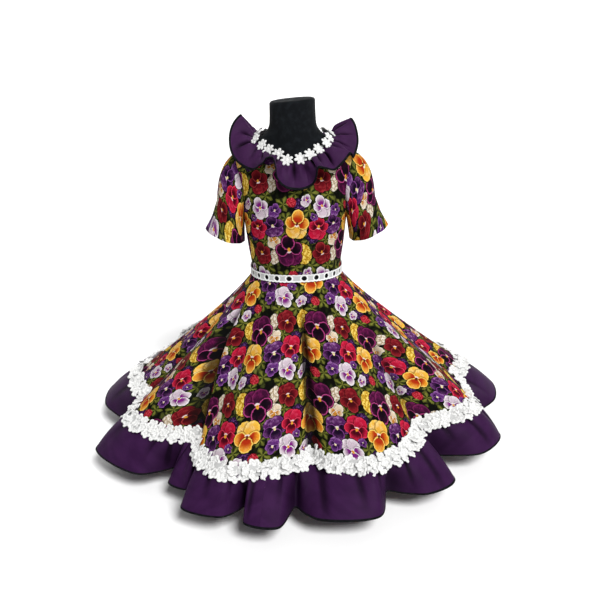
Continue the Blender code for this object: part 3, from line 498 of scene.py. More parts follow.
class Board:
    """The nodes of one finish."""

    def __init__(self, name):
        self.material = bpy.data.materials.new(name)
        self.material.use_nodes = True
        self.tree = self.material.node_tree
        self.shader = self.tree.nodes["Principled BSDF"]

    def plug(self, socket, value):
        """A link or a constant for one socket."""
        if isinstance(value, Wire):
            self.tree.links.new(value.socket, socket)
        else:
            socket.default_value = value

    def node(self, kind, settings=None, inputs=None, output=0):
        made = self.tree.nodes.new("ShaderNode" + kind)
        for name, value in (settings or {}).items():
            if name == "stops":
                self.set_stops(made.color_ramp, value)
            elif name == "outline":
                self.set_outline(made.mapping, value)
            else:
                setattr(made, name, value)
        for name, value in (inputs or {}).items():
            self.plug(made.inputs[name], value)
        return Wire(self, made.outputs[output])

    def set_stops(self, ramp, stops):
        ramp.interpolation = "CONSTANT" if stops[0] == "CONSTANT" else "LINEAR"
        stops = [stop for stop in stops if stop != "CONSTANT"]
        while len(ramp.elements) < len(stops):
            ramp.elements.new(1.0)
        for element, (place, colour) in zip(ramp.elements, stops):
            element.position = place
            element.color = (*colour, 1.0)

    def set_outline(self, mapping, values):
        curve = mapping.curves[0]
        while len(curve.points) < len(values):
            curve.points.new(0.5, 0.5)
        for k, value in enumerate(values):
            curve.points[k].location = (k / (len(values) - 1), value)
            curve.points[k].handle_type = "VECTOR"
        mapping.update()

    def vector(self, operation, *values, output=0):
        return self.node("VectorMath", {"operation": operation}, dict(enumerate(values)), output)

    def blend(self, share, under, over):
        """Colours or links of colours, from under at 0 to over at 1."""
        under, over = (c if isinstance(c, Wire) else (*c, 1.0) for c in (under, over))
        return self.node("Mix", {"data_type": "RGBA"}, {0: share, 6: under, 7: over}, 2)

    def toned(self, value, start, end, under, over):
        """Under where the value is below start, over where it is above end."""
        return self.blend(self.eased(value, start, end), under, over)

    def either(self, share, under, over):
        return self.node("Mix", {"data_type": "FLOAT"}, {0: share, 2: under, 3: over})

    def eased(self, value, start, end):
        """0 below start and 1 above end."""
        settings = {"interpolation_type": "SMOOTHSTEP"}
        return self.node("MapRange", settings, {0: value, 1: start, 2: end, 3: 0.0, 4: 1.0})

    def angle_of(self, x, y):
        return self.node("Math", {"operation": "ARCTAN2"}, {0: y, 1: x})

    def length(self, place):
        return self.vector("LENGTH", place, output=1)

    def ramp(self, value, stops):
        return self.node("ValToRGB", {"stops": stops}, {0: value})

    def noise(self, place, scale, detail=2.0, output=0):
        return self.node("TexNoise", {}, {"Vector": place, "Scale": scale, "Detail": detail}, output)

    def flat(self):
        """Place on the flat cut, in metres."""
        return self.node("UVMap", {"uv_map": "flat"})

    def own_place(self):
        """Place on the piece itself, in metres."""
        return self.node("TexCoord", {}, {}, 3)

    def hollow(self):
        """The mesh's hollow values: painted shade where folds close up, between petals and under lace
        flowers, and the belt's grey web.
        """
        return self.node("Attribute", {"attribute_name": "hollow"}, {}, 2)

    def split(self, place):
        """The three values of a place."""
        across = self.node("SeparateXYZ", {}, {0: place})
        return across, across.beside(1), across.beside(2)

    def bump(self, height, depth, strength=1.0):
        normal = self.node("Bump", {}, {"Height": height, "Distance": depth, "Strength": strength})
        self.plug(self.shader.inputs["Normal"], normal)

    def dress_in(self, **values):
        """Links or constants for the shader's own sockets."""
        for name, value in values.items():
            self.plug(self.shader.inputs[name.replace("_", " ")], value)
        return self.material


THREAD_PITCH = 0.00045


def ribs(value, pitch):
    """Height of rows of thread at a pitch, 0 to 1."""
    return (value * (math.pi / pitch)).sine().size()


def weave(board, place, pitch=THREAD_PITCH):
    """Height of a plain weave, 0 to 1."""
    across, up, _ = board.split(place)
    turn = math.pi / pitch
    return ((across * turn).sine() * (up * turn).sine()).size()


# The print: petals of one pansy in its own radius, back petals first, and the flowers of one
# repeat, laid from the ones below to the ones on top. Places are shares of the repeat.
PETALS = rows_of(
    "across up half_width half_height turn",
    (-0.27, 0.42, 0.56, 0.50, 14), (0.27, 0.42, 0.56, 0.50, -14),
    (-0.50, -0.10, 0.44, 0.40, 10), (0.50, -0.10, 0.44, 0.40, -10),
    (0.00, -0.50, 0.48, 0.46, 0),
)
FRONT_PETAL = 2          # side petals and lip come after the two back ones
REPEAT_WIDTH, REPEAT_HEIGHT = 0.130, 0.158
DYE = 0.79               # strength of the print's light on the cloth

# One row for each kind: colours of the back petals, of the front petals, of their edge, of the
# blotch round the eye, of the light on the back petals, and of the eye
GOLD_EYE, PALE_EYE, DARK_EYE = (0.80, 0.36, 0.03), (0.85, 0.72, 0.35), (0.12, 0.02, 0.01)
KINDS = rows_of(
    "name back front edge blotch light eye",
    ("leaf", (0.012, 0.017, 0.004), (0.062, 0.072, 0.012), (0.10, 0.12, 0.02), (0.010, 0.014, 0.004),
     (0.26, 0.27, 0.044), DARK_EYE),
    ("yellow bloom", (0.86, 0.58, 0.06), (0.74, 0.46, 0.04), (0.88, 0.62, 0.11), (0.36, 0.17, 0.01),
     (0.92, 0.70, 0.17), GOLD_EYE),
    ("cream bloom", (0.74, 0.64, 0.50), (0.62, 0.50, 0.36), (0.80, 0.74, 0.64), (0.28, 0.20, 0.11),
     (0.86, 0.80, 0.70), GOLD_EYE),
    ("dusky bloom", (0.045, 0.012, 0.070), (0.028, 0.008, 0.045), (0.11, 0.03, 0.17),
     (0.008, 0.003, 0.012), (0.13, 0.045, 0.20), PALE_EYE),
    ("red bud", (0.56, 0.016, 0.040), (0.46, 0.010, 0.026), (0.75, 0.09, 0.09), (0.10, 0.003, 0.006),
     (0.72, 0.08, 0.10), GOLD_EYE),
    ("plum", (0.052, 0.005, 0.032), (0.013, 0.003, 0.011), (0.42, 0.050, 0.20), (0.006, 0.002, 0.006),
     (0.17, 0.011, 0.085), GOLD_EYE),
    ("orange", (0.88, 0.50, 0.06), (0.82, 0.33, 0.02), (0.94, 0.64, 0.13), (0.42, 0.028, 0.006),
     (0.96, 0.74, 0.30), DARK_EYE),
    ("crimson", (0.54, 0.009, 0.042), (0.50, 0.009, 0.040), (0.72, 0.045, 0.095), (0.060, 0.002, 0.008),
     (0.72, 0.045, 0.105), GOLD_EYE),
    ("dark red", (0.17, 0.006, 0.012), (0.20, 0.008, 0.014), (0.30, 0.028, 0.030), (0.060, 0.003, 0.006),
     (0.36, 0.028, 0.034), GOLD_EYE),
    ("purple", (0.090, 0.015, 0.110), (0.052, 0.008, 0.068), (0.20, 0.050, 0.23), (0.009, 0.003, 0.016),
     (0.40, 0.17, 0.42), PALE_EYE),
    ("lilac", (0.72, 0.62, 0.67), (0.74, 0.64, 0.68), (0.88, 0.84, 0.84), (0.20, 0.016, 0.20),
     (0.88, 0.82, 0.84), GOLD_EYE),
    ("cream", (0.76, 0.66, 0.50), (0.74, 0.60, 0.42), (0.86, 0.80, 0.68), (0.50, 0.20, 0.03),
     (0.88, 0.82, 0.72), GOLD_EYE),
    ("violet", (0.13, 0.028, 0.19), (0.14, 0.036, 0.21), (0.28, 0.10, 0.35), (0.030, 0.007, 0.052),
     (0.34, 0.15, 0.40), PALE_EYE),
)
BLOOMS = 5               # the first kinds are leaves, ruffled blooms and buds
KIND_PLACE = {kind.name: (k + 0.5) / len(KINDS) for k, kind in enumerate(KINDS)}
OUTLINE = 1.07           # a dark line round each flower, in its radius

CHART = rows_of(
    "kind across up radius turn slim",
    ("leaf", 0.74, 0.62, 0.0185, 20, 0.86), ("leaf", 0.03, 0.60, 0.0185, -30, 0.84),
    ("leaf", 0.42, 0.10, 0.0185, 70, 0.86), ("leaf", 0.68, 0.25, 0.0176, 120, 0.84),
    ("leaf", 0.99, 0.96, 0.0185, -70, 0.86), ("leaf", 0.70, 0.98, 0.0176, 45, 0.86),
    ("leaf", 0.24, 0.97, 0.0176, 150, 0.86), ("leaf", 0.02, 0.20, 0.0167, 160, 0.86),
    ("leaf", 0.40, 0.49, 0.0167, 200, 0.84), ("leaf", 0.39, 0.29, 0.0150, -20, 0.84),
    ("dusky bloom", 0.97, 0.56, 0.0150, 40, 0.9), ("dusky bloom", 0.17, 0.12, 0.0150, 40, 0.9),
    ("yellow bloom", 0.120, 0.785, 0.0255, 10, 0.72), ("cream bloom", 0.580, 0.82, 0.0205, -20, 0.60),
    ("cream", 0.590, 0.60, 0.0185, -16, 0.80), ("plum", 0.346, 0.735, 0.0360, 7, 0.82),
    ("dark red", 0.81, 0.79, 0.0265, 16, 0.84), ("purple", 0.595, 0.39, 0.0255, 10, 0.95),
    ("crimson", 0.87, 0.43, 0.0275, -10, 0.84), ("orange", 0.21, 0.375, 0.0325, -8, 0.79),
    ("lilac", 0.80, 0.135, 0.0255, 20, 0.78), ("violet", 0.56, 0.175, 0.0155, -16, 0.90),
    ("red bud", 0.29, 0.085, 0.0115, 30, 0.90), ("lilac", 0.06, 0.06, 0.0145, -24, 0.72),
    ("violet", 0.94, 0.27, 0.0095, 30, 0.85),
)
WIDEST = 1.2             # the widest that any outline reaches, in the flower's radius
OUTLINE_ANGLES = np.linspace(-math.pi, math.pi, 61)


def petal_outline():
    """Outer reach of the pansy's petals round its middle, as shares of the widest."""
    reach = np.zeros(len(OUTLINE_ANGLES))
    out = np.linspace(0, WIDEST, 121)
    for k, angle in enumerate(OUTLINE_ANGLES):
        x, y = out * math.cos(angle), out * math.sin(angle)
        for petal in PETALS:
            c, s = math.cos(math.radians(petal.turn)), math.sin(math.radians(petal.turn))
            dx, dy = x - petal.across, y - petal.up
            along, beside = (dx * c + dy * s) / petal.half_width, (dy * c - dx * s) / petal.half_height
            inside = along**2 + beside**2 < 1
            if inside.any():
                reach[k] = max(reach[k], out[inside].max())
    return reach / WIDEST


def bloom_outline(bumps):
    return (0.80 + 0.17 * np.abs(np.sin(OUTLINE_ANGLES * bumps / 2))) / WIDEST


def leaf_outline():
    """Five pointed lobes."""
    return (1.0 - 0.30 * np.abs(np.cos(OUTLINE_ANGLES * 2.5)) ** 0.8) / WIDEST


def chosen_flower(board, place):
    """Place within the topmost flower, in its radius, with its kind in the third value. The third
    value is 0 on the ground between flowers."""
    across, up, _ = board.split(place)
    lattice = board.node("CombineXYZ", {}, {0: across / REPEAT_WIDTH, 1: up / REPEAT_HEIGHT})
    top = board.node("CombineXYZ", {}, {0: 2.0, 1: 2.0, 2: 0.0})
    for flower in CHART:
        near = board.vector("SUBTRACT", lattice, (flower.across, flower.up, 0))
        near = board.vector("WRAP", near, (0.5, 0.5, 0.5), (-0.5, -0.5, -0.5))
        u, v, _ = board.split(near)
        c, s = math.cos(math.radians(flower.turn)), math.sin(math.radians(flower.turn))
        wide, tall = flower.radius * flower.slim, flower.radius
        along_u = REPEAT_WIDTH * c / wide, -REPEAT_WIDTH * s / tall, 0
        along_v = REPEAT_HEIGHT * s / wide, REPEAT_HEIGHT * c / tall, 0
        own = board.vector("MULTIPLY_ADD", u, along_u, (0, 0, KIND_PLACE[flower.kind]))
        own = board.vector("MULTIPLY_ADD", v, along_v, own)
        x, y, _ = board.split(own)
        share = board.node("FloatCurve", {"outline": OUTLINES[flower.kind]}, {
            "Value": board.angle_of(x, y) / (2 * math.pi) + 0.5,
        })
        inside = (x * x + y * y).root() < share * (WIDEST * OUTLINE)
        top = board.node("Mix", {"data_type": "VECTOR"}, {0: inside, 4: top, 5: own}, 1)
    return top


OUTLINES = dict.fromkeys(KIND_PLACE, petal_outline())
OUTLINES["leaf"] = leaf_outline()
for bloom, bumps in (("yellow bloom", 9), ("cream bloom", 6), ("dusky bloom", 5), ("red bud", 3)):
    OUTLINES[bloom] = bloom_outline(bumps)


def by_kind(board, kind, field):
    """Colour of a flower's kind."""
    colours = np.array([getattr(row, field) for row in KINDS]) * DYE
    stops = [(k / len(KINDS), tuple(colour)) for k, colour in enumerate(colours)]
    return board.ramp(kind, ["CONSTANT", *stops])


INK = (0.003, 0.003, 0.003)


def flower_colours(board, spot):
    """Colour of the topmost flower at its own place, and the number of its kind."""
    x, y, kind = board.split(spot)
    tone = {field: by_kind(board, kind, field) for field in KINDS[0]._fields[1:]}
    away = board.length(board.vector("MULTIPLY", spot, (1, 1, 0)))
    rim, order, shade = 1.0, -1.0, 1.0
    for k, petal in enumerate(PETALS):
        out = board.length(board.node("Mapping", {"vector_type": "TEXTURE"}, {
            "Vector": spot,
            "Location": (petal.across, petal.up, 0),
            "Rotation": (0, 0, math.radians(petal.turn)),
            "Scale": (petal.half_width, petal.half_height, 1000),
        }))
        inside = out < 1.0
        rim = board.either(inside, rim, out)
        order = board.either(inside, order, float(k))
        beside = board.eased(out, 0.98, 1.30) * 0.7 + 0.3
        shade = board.either(inside, beside * shade, 1.0)
    front = board.eased(order, FRONT_PETAL - 0.6, FRONT_PETAL - 0.4)
    ripple = board.noise(spot, 2.6, 2.0)
    colour = board.blend(front, tone["back"], tone["front"])
    light = board.eased(ripple, 0.42, 0.66) * board.eased(away, 0.30, 0.75) * (1 - front * 0.75)
    colour = board.blend(light, colour, tone["light"])
    blotch = (1 - board.eased(away, 0.38, 0.80)) * front
    colour = board.blend(blotch, colour, tone["blotch"])
    angle = board.angle_of(x, y)
    vein = board.eased((angle * 23.0 + ripple * 12.0).sine().size(), 0.60, 1.0)
    vein = vein * board.eased(away, 0.10, 0.25) * (1 - board.eased(away, 0.6, 1.0))
    colour = board.blend(vein * 0.55, colour, tone["blotch"])
    colour = board.blend((1 - shade) * 0.85, colour, INK)
    edge = board.eased(rim, 0.80, 0.92) * (0.25 + 0.75 * front) * board.eased(shade, 0.3, 0.9)
    colour = board.blend(edge, colour, tone["edge"])
    whisker = board.length(board.vector("MULTIPLY_ADD", spot, (4.6, 12.5, 0), (0, -1.1, 0)))
    whisker = (1 - board.eased(whisker, 0.55, 0.95)) * 0.85
    colour = board.blend(whisker, colour, (0.72, 0.62, 0.64))
    eye = board.length(board.vector("MULTIPLY_ADD", spot, (8.5, 6.5, 0), (0, 0.35, 0)))
    colour = board.toned(eye, 0.7, 1.0, tone["eye"], colour)
    colour = board.blend(order < -0.5, colour, INK)
    ruffled = ((board.noise(spot, 3.4, 3.0) - 0.5) * 7.0).size()
    bloom = board.toned(ruffled, 0.0, 0.5, tone["blotch"], tone["front"])
    bloom = board.toned(ruffled, 0.35, 1.0, bloom, tone["light"])
    bloom = board.toned(away, 0.86, 0.98, bloom, INK)
    lobe = (angle * 2.5 + math.pi / 2).sine().size()
    leaf = board.toned(lobe + ripple * 0.6, 0.25, 1.10, tone["light"], tone["front"])
    leaf = board.toned(lobe, 0.72, 1.0, leaf, tone["back"])
    leaf = board.blend((1 - board.eased(lobe, 0.0, 0.12)) * 0.8, leaf, tone["blotch"])
    leaf = board.blend(board.eased(away, 0.5, 1.0) * 0.55, leaf, tone["back"])
    bloom = board.blend(kind < 1 / len(KINDS), bloom, leaf)
    return board.blend(kind < BLOOMS / len(KINDS), colour, bloom), kind


def leaf_ground(board, place):
    """Small leaves in olive and moss on black."""
    stir = board.noise(place, 60.0, 2.0, 1)
    place = board.vector("MULTIPLY_ADD", stir, (0.010, 0.010, 0), place)
    long_leaves = board.vector("MULTIPLY", place, (1.0, 0.55, 1.0))
    leaf = board.node("TexVoronoi", {}, {"Vector": long_leaves, "Scale": 105.0, "Randomness": 1.0})
    pick, _, _ = board.split(leaf.beside(1))
    green = board.ramp(pick, [
        (0.0, (0.002, 0.003, 0.002)), (0.30, (0.005, 0.007, 0.003)), (0.50, (0.022, 0.028, 0.007)),
        (0.78, (0.070, 0.078, 0.016)), (1.0, (0.16, 0.17, 0.036)),
    ])
    shade = board.eased(leaf, 0.22, 0.62)
    streak = board.noise(board.vector("MULTIPLY", place, (3.2, 1.0, 1.0)), 420.0, 2.0)
    green = board.blend(board.eased(streak, 0.42, 0.62) * 0.6, green, (0.003, 0.004, 0.002))
    return board.blend(shade, green, (0.003, 0.003, 0.002))


def printed_cotton():
    """Woven cotton with flowers over small leaves on black."""
    board = Board("printed_cotton")
    flat = board.flat()
    stir = board.noise(flat, 210.0, 2.0, 1)
    stir = board.vector("SUBTRACT", stir, (0.5, 0.5, 0.5))
    place = board.vector("MULTIPLY_ADD", stir, (0.0045, 0.0045, 0), flat)
    spot = chosen_flower(board, place)
    colour, kind = flower_colours(board, spot)
    colour = board.blend(kind > 0.001, leaf_ground(board, flat), colour)
    threads = weave(board, flat)
    colour = board.blend(threads * 0.12, colour, INK)
    # Painted shade: the print goes near black deep in the skirt's creases, from the mesh's hollow
    # values.
    colour = board.blend(board.hollow() * 0.88, colour, INK)
    worn = board.noise(flat, 18.0, 2.0)
    board.bump(threads, 0.00008, 0.5)
    return board.dress_in(
        Base_Color=colour, Roughness=0.66 + worn * 0.16, Specular_IOR_Level=0.02,
        Sheen_Weight=0.004, Sheen_Roughness=0.5,
    )


def satin(name, colour, deep, pitch=0.00035):
    """Smooth dyed cloth with a slight sheen across fine twill lines."""
    board = Board(name)
    flat = board.flat()
    across, up, _ = board.split(flat)
    twill = ribs(across + up, pitch)
    cloud = board.noise(flat, 26.0, 3.0)
    tone = board.toned(cloud, 0.30, 0.70, deep, colour)
    tone = board.blend(twill * 0.18, tone, deep)
    # Painted shade: the satin goes near black where its folds and gathers close up, from the mesh's
    # hollow values.
    tone = board.blend(board.hollow() * 0.86, tone, [share * 0.08 for share in deep])
    board.bump(twill, 0.00006, 0.45)
    return board.dress_in(
        Base_Color=tone, Roughness=0.50 + cloud * 0.14, Specular_IOR_Level=0.04,
        Sheen_Weight=0.01, Sheen_Roughness=0.45, Sheen_Tint=(0.62, 0.36, 0.80, 1.0),
    )


def bias_binding():
    """Black tape cut on the bias, so its threads slant."""
    board = Board("black_binding")
    flat = board.flat()
    across, up, _ = board.split(flat)
    rib = ribs(across - up, 0.0005)
    slub = board.noise(flat, 140.0, 2.0)
    tone = board.toned(slub, 0.35, 0.7, (0.0030, 0.0034, 0.0042), (0.0085, 0.0092, 0.0108))
    board.bump(rib, 0.00008, 0.5)
    return board.dress_in(Base_Color=tone, Roughness=0.56 + slub * 0.2, Specular_IOR_Level=0.03)


def lace_cotton(name, light, shade, pitch=0.0007):
    """Corded white thread: fine ridges with painted shade between them."""
    board = Board(name)
    place = board.own_place()
    cords = board.noise(place, 0.9 / pitch, 2.0)
    tangle = board.noise(place, 0.25 / pitch, 3.0)
    tone = board.toned(cords, 0.36, 0.58, shade, light)
    # Painted shade from the mesh's hollow values, between petals and under the flowers; on the belt the
    # same values give its grey web.
    tone = board.blend(board.hollow() * 0.75, tone, [share * 0.55 for share in shade])
    board.bump(cords + tangle, 0.0004, 0.7)
    return board.dress_in(Base_Color=tone, Roughness=0.72 + cords * 0.16, Sheen_Weight=0.12)


def thread():
    board = Board("black_thread")
    place = board.own_place()
    twist = board.noise(place, 2600.0, 2.0)
    tone = board.blend(twist, (0.006, 0.006, 0.007), (0.030, 0.028, 0.032))
    board.bump(twist, 0.00005, 0.6)
    return board.dress_in(Base_Color=tone, Roughness=0.45 + twist * 0.2, Specular_IOR_Level=0.2)


def ribbon_satin():
    board = Board("black_ribbon")
    across, _, _ = board.split(board.flat())
    rib = ribs(across, 0.0006)
    tone = board.blend(rib, (0.002, 0.002, 0.0025), (0.005, 0.005, 0.006))
    board.bump(rib, 0.00008, 0.6)
    return board.dress_in(Base_Color=tone, Roughness=0.46 + rib * 0.12, Specular_IOR_Level=0.05)


def form_jersey():
    """Fine matte knit over the form."""
    board = Board("form_cover")
    place = board.own_place()
    x, y, z = board.split(place)
    knit = ((z * (math.pi / 0.0011)).sine() * ((x + y * 0.7) * (math.pi / 0.0009)).sine()).size()
    lint = board.noise(place, 90.0, 3.0)
    tone = board.toned(lint, 0.40, 0.75, (0.0026, 0.0036, 0.0048), (0.0068, 0.0086, 0.0108))
    board.bump(knit, 0.0001, 0.5)
    return board.dress_in(
        Base_Color=tone, Roughness=0.72 + lint * 0.14, Sheen_Weight=0.02, Sheen_Roughness=0.55,
        Specular_IOR_Level=0.08,
    )


def stand_enamel():
    board = Board("stand_paint")
    place = board.own_place()
    peel = board.noise(place, 260.0, 2.0)
    dust = board.noise(place, 22.0, 3.0)
    tone = board.toned(dust, 0.45, 0.8, (0.012, 0.012, 0.013), (0.026, 0.026, 0.027))
    board.bump(peel, 0.0001, 0.3)
    return board.dress_in(Base_Color=tone, Roughness=0.30 + dust * 0.14)


def zip_cloth():
    board = Board("zip_tape")
    across, up, _ = board.split(board.flat())
    bone = ribs(up + across.size(), 0.0007)
    tone = board.blend(bone, (0.012, 0.008, 0.013), (0.030, 0.020, 0.032))
    board.bump(bone, 0.0001, 0.6)
    return board.dress_in(Base_Color=tone, Roughness=0.60 + bone * 0.2)


def zip_enamel():
    board = Board("zip_metal")
    place = board.own_place()
    rub = board.noise(place, 900.0, 3.0)
    tone = board.toned(rub, 0.55, 0.75, (0.016, 0.014, 0.018), (0.10, 0.095, 0.10))
    board.bump(rub, 0.00005, 0.3)
    return board.dress_in(Base_Color=tone, Metallic=0.7, Roughness=0.30 + rub * 0.2)


FINISHES = {}
for material in (
    printed_cotton(), bias_binding(), ribbon_satin(), form_jersey(), stand_enamel(), zip_cloth(),
    zip_enamel(), thread(),
    satin("collar_satin", (0.046, 0.0140, 0.056), (0.031, 0.0092, 0.039)),
    satin("ruffle_satin", (0.037, 0.0098, 0.049), (0.026, 0.0064, 0.035)),
    lace_cotton("flower_lace", (0.87, 0.87, 0.85), (0.52, 0.52, 0.52)),
    lace_cotton("eyelet_lace", (0.84, 0.85, 0.84), (0.62, 0.64, 0.64), 0.0009),
):
    FINISHES[material.name.split(".")[0]] = material


# Folds that the cloth makes between the flutes: where each one starts under the waist and ends at
# the printed edge, its depth (less than 0 for a ridge), half its width in degrees, and how far
# down it starts
CREASES = rows_of(
    "top edge depth half_width start",
    (-66, -38, 0.0230, 7.0, 0.02), (-56, -31, -0.0060, 6.0, 0.02),
    (4.5, 4.0, 0.0260, 3.8, 0.02), (-3.5, -3.0, -0.0040, 5.0, 0.10),
    (11.5, 11.0, -0.0030, 5.0, 0.10), (22.0, 12.0, 0.0035, 6.0, 0.40),
    (60.0, 43.0, 0.0120, 6.5, 0.12), (74.0, 62.0, -0.0035, 8.0, 0.20),
    (-84.0, -74.0, 0.0130, 6.0, 0.12), (-20.0, -14.0, 0.0030, 6.0, 0.45),
    (92.0, 86.0, 0.0060, 7.0, 0.15), (128.0, 119.0, 0.0065, 7.0, 0.10),
    (148.0, 160.0, 0.0065, 7.0, 0.10), (-128.0, -119.0, 0.0065, 7.0, 0.12),
    (-150.0, -160.0, 0.0065, 7.0, 0.10),
)


def quads(columns, rows, closed):
    """Columns and rows of the corners of a grid's cells."""
    spans = columns if closed else columns - 1
    i, j = (g.ravel() for g in np.meshgrid(np.arange(spans), np.arange(rows - 1), indexing="ij"))
    return np.stack([i, i + 1, i + 1, i], axis=1), np.stack([j, j, j + 1, j + 1], axis=1)


def rim_edges(columns, rows, closed):
    """Both ends of each edge round a grid, each with its columns and rows, so that the grid's face
    lies on the left."""
    spans = columns if closed else columns - 1
    i, j = np.arange(spans), np.arange(rows - 1)
    runs = [(i, 0 * i, i + 1, 0 * i), (i + 1, 0 * i + rows - 1, i, 0 * i + rows - 1)]
    if not closed:
        runs += [(0 * j, j + 1, 0 * j, j), (0 * j + columns - 1, j, 0 * j + columns - 1, j + 1)]
    parts = [np.concatenate(part) for part in zip(*runs)]
    return tuple(parts[:2]), tuple(parts[2:])


def way_along(line):
    """Distance of each point of a line from its first, along the line."""
    steps = np.linalg.norm(np.diff(line, axis=0), axis=-1)
    return np.concatenate([0 * steps[:1], np.cumsum(steps, axis=0)])


def laid_flat(face, closed=False):
    """Place on the cut of each point of a grid: the way across from its middle column, and the way
    up from its first row. A closed grid gets one column more."""
    if closed:
        face = np.concatenate([face, face[:1]])
    across = way_along(face)
    up = way_along(np.swapaxes(face, 0, 1)).T
    return np.stack([across - across[len(across) // 2], up], axis=-1)


def laid_size(face, closed=False):
    """Width and length of a grid laid flat."""
    return np.ptp(laid_flat(face, closed).reshape(-1, 2), axis=0)


def covered(face, closed=False):
    """Area of a grid."""
    if closed:
        face = np.concatenate([face, face[:1]])
    first, second = face[1:, 1:] - face[:-1, :-1], face[1:, :-1] - face[:-1, 1:]
    return float(np.linalg.norm(np.cross(first, second), axis=-1).sum() / 2)


def placed(name, data):
    """An object of the scene."""
    made = bpy.data.objects.new(name, data)
    bpy.context.scene.collection.objects.link(made)
    return made


def finished(name, mesh, finish, sharp):
    """A smooth piece from a mesh, with edges where it turns by more than sharp degrees."""
    mesh.materials.append(FINISHES[finish])
    mesh.shade_smooth()
    mesh.set_sharp_from_angle(angle=math.radians(sharp))
    return placed(name, mesh)


def mesh_piece(name, finish, points, faces, places=None, sharp=50.0, hollow=None):
    """A piece from points and faces, with each corner's place on the flat cut. hollow gives each
    point its painted shade, where a fold closes up or between petals, or the belt's grey web."""
    mesh = bpy.data.meshes.new(name)
    mesh.from_pydata(points.tolist(), [], faces.tolist() if hasattr(faces, "tolist") else faces)
    if places is not None:
        layer = mesh.uv_layers.new(name="flat")
        layer.data.foreach_set("uv", places.ravel())
    if hollow is not None:
        mesh.attributes.new("hollow", "FLOAT", "POINT").data.foreach_set("value", hollow)
    return finished(name, mesh, finish, sharp)


def cloth_mesh(outer, inner, flat=None, closed=False):
    """Points, faces and flat places of cloth with two faces and a rim, between two grids of points
    of one size."""
    flat = laid_flat(outer, closed) if flat is None else flat
    columns, rows = outer.shape[:2]
    across, up = quads(columns, rows, closed)
    cell = [outer[across[0, k] % columns, up[0, k]] for k in range(4)]
    outward = cell[0] - inner[across[0, 0], up[0, 0]]
    facing = np.dot(np.cross(cell[1] - cell[0], cell[3] - cell[0]), outward)
    start, end = rim_edges(columns, rows, closed)

    def at(layer, i, j):
        return layer * columns * rows + (i % columns) * rows + j

    rim = np.stack([at(0, *end), at(0, *start), at(1, *start), at(1, *end)], axis=1)
    rim_places = np.stack([flat[end], flat[start], flat[start], flat[end]], axis=1)
    faces = np.concatenate([at(0, across, up), at(1, across, up)[:, ::-1], rim])
    places = np.concatenate([flat[across, up], flat[across, up][:, ::-1], rim_places])
    if facing < 0:
        faces, places = faces[:, ::-1], places[:, ::-1]
    return np.concatenate([outer.reshape(-1, 3), inner.reshape(-1, 3)]), faces, places


def put_on(piece, node, body="dress"):
    """Binds a piece to its body and puts it in the place of its solid."""
    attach(piece, body)
    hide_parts(node)
    return piece


def cloth_piece(
    name, node, finish, faces, cut=None, area=None, closed=False,
    flat=None, hollow=None,
):
    """A sheet of cloth between its outer and its inner face, in the place of its solid. Its cut and
    area are those of the outer face laid flat, unless others are given. hollow gives its painted
    shade, where its folds close up or under lace flowers."""
    outer, inner = faces
    hollow = None if hollow is None else np.tile(hollow.ravel(), 2)
    piece = mesh_piece(name, finish, *cloth_mesh(outer, inner, flat, closed), hollow=hollow)
    put_on(piece, node)
    cut = laid_size(outer, closed) if cut is None else cut
    area = covered(outer, closed) if area is None else area
    tuple(cut)
    return piece


def panels(part, side, centre, columns):
    """Name, grid of azimuths and middle azimuth of the front and the two backs of a part. side and
    centre are half the gaps at its side seams and its centre back, in degrees."""
    for end, start, stop, middle, spans in (
        ("_front", -90 + side, 90 - side, 0, columns),
        ("_back_left", 90 + side, 180 - centre, 180, columns // 2),
        ("_back_right", -180 + centre, -90 - side, -180, columns // 2),
    ):
        yield part + end, start + (stop - start) * np.linspace(0, 1, spans + 1)[:, None], middle


def rows_and_columns(across, up):
    """Grids of two rows of numbers, across first."""
    return np.meshgrid(across, up, indexing="ij")


def waves(place, *terms):
    """Soft uneven waves from (turns per unit, share, start) terms."""
    return sum(share * np.sin(2 * math.pi * (place * turns + start)) for turns, share, start in terms)


# Depths of the soft folds in the skirt, the bodice, the sleeves and the ruffle
SKIRT_RIPPLE, PUCKER, CUFF_FOLD, RUFFLE_GATHER = 0.0010, 0.0007, 0.0020, 0.0062


def creases(azimuth, down):
    """How far the skirt's cloth lies inside its flutes."""
    below = np.clip((down - SKIRT_BAND) / (1 - SKIRT_BAND), 0, None)
    depth = 0 * below
    for crease in CREASES:
        line = crease.top + (crease.edge - crease.top) * below
        away = np.abs((azimuth - line + 180) % 360 - 180)
        side = smooth(1 - away / crease.half_width)
        depth = depth + crease.depth * smooth((below - crease.start) / 0.5) * side
    ripple = waves(azimuth / 360, (31, 0.6, 0.1), (47, 0.4, 0.7))
    return depth + SKIRT_RIPPLE * smooth(below * 2) * ripple


def draped_skirt(azimuth, down):
    """Outer face of the skirt with its creases."""
    point = skirt(azimuth, down)
    return point - level_out(point) * creases(azimuth, down)[..., None]


SKIRT_CUT_ANGLE = 156.0          # of each half of the skirt
SKIRT_CUT_TOP = 0.098            # radius of the waist on the cut
# Painted shade in the skirt's creases starts at SHADE_FROM of depth and is full SHADE_OVER deeper.
SHADE_FROM, SHADE_OVER = 0.005, 0.012    # depth at which a crease starts to close up, and its span


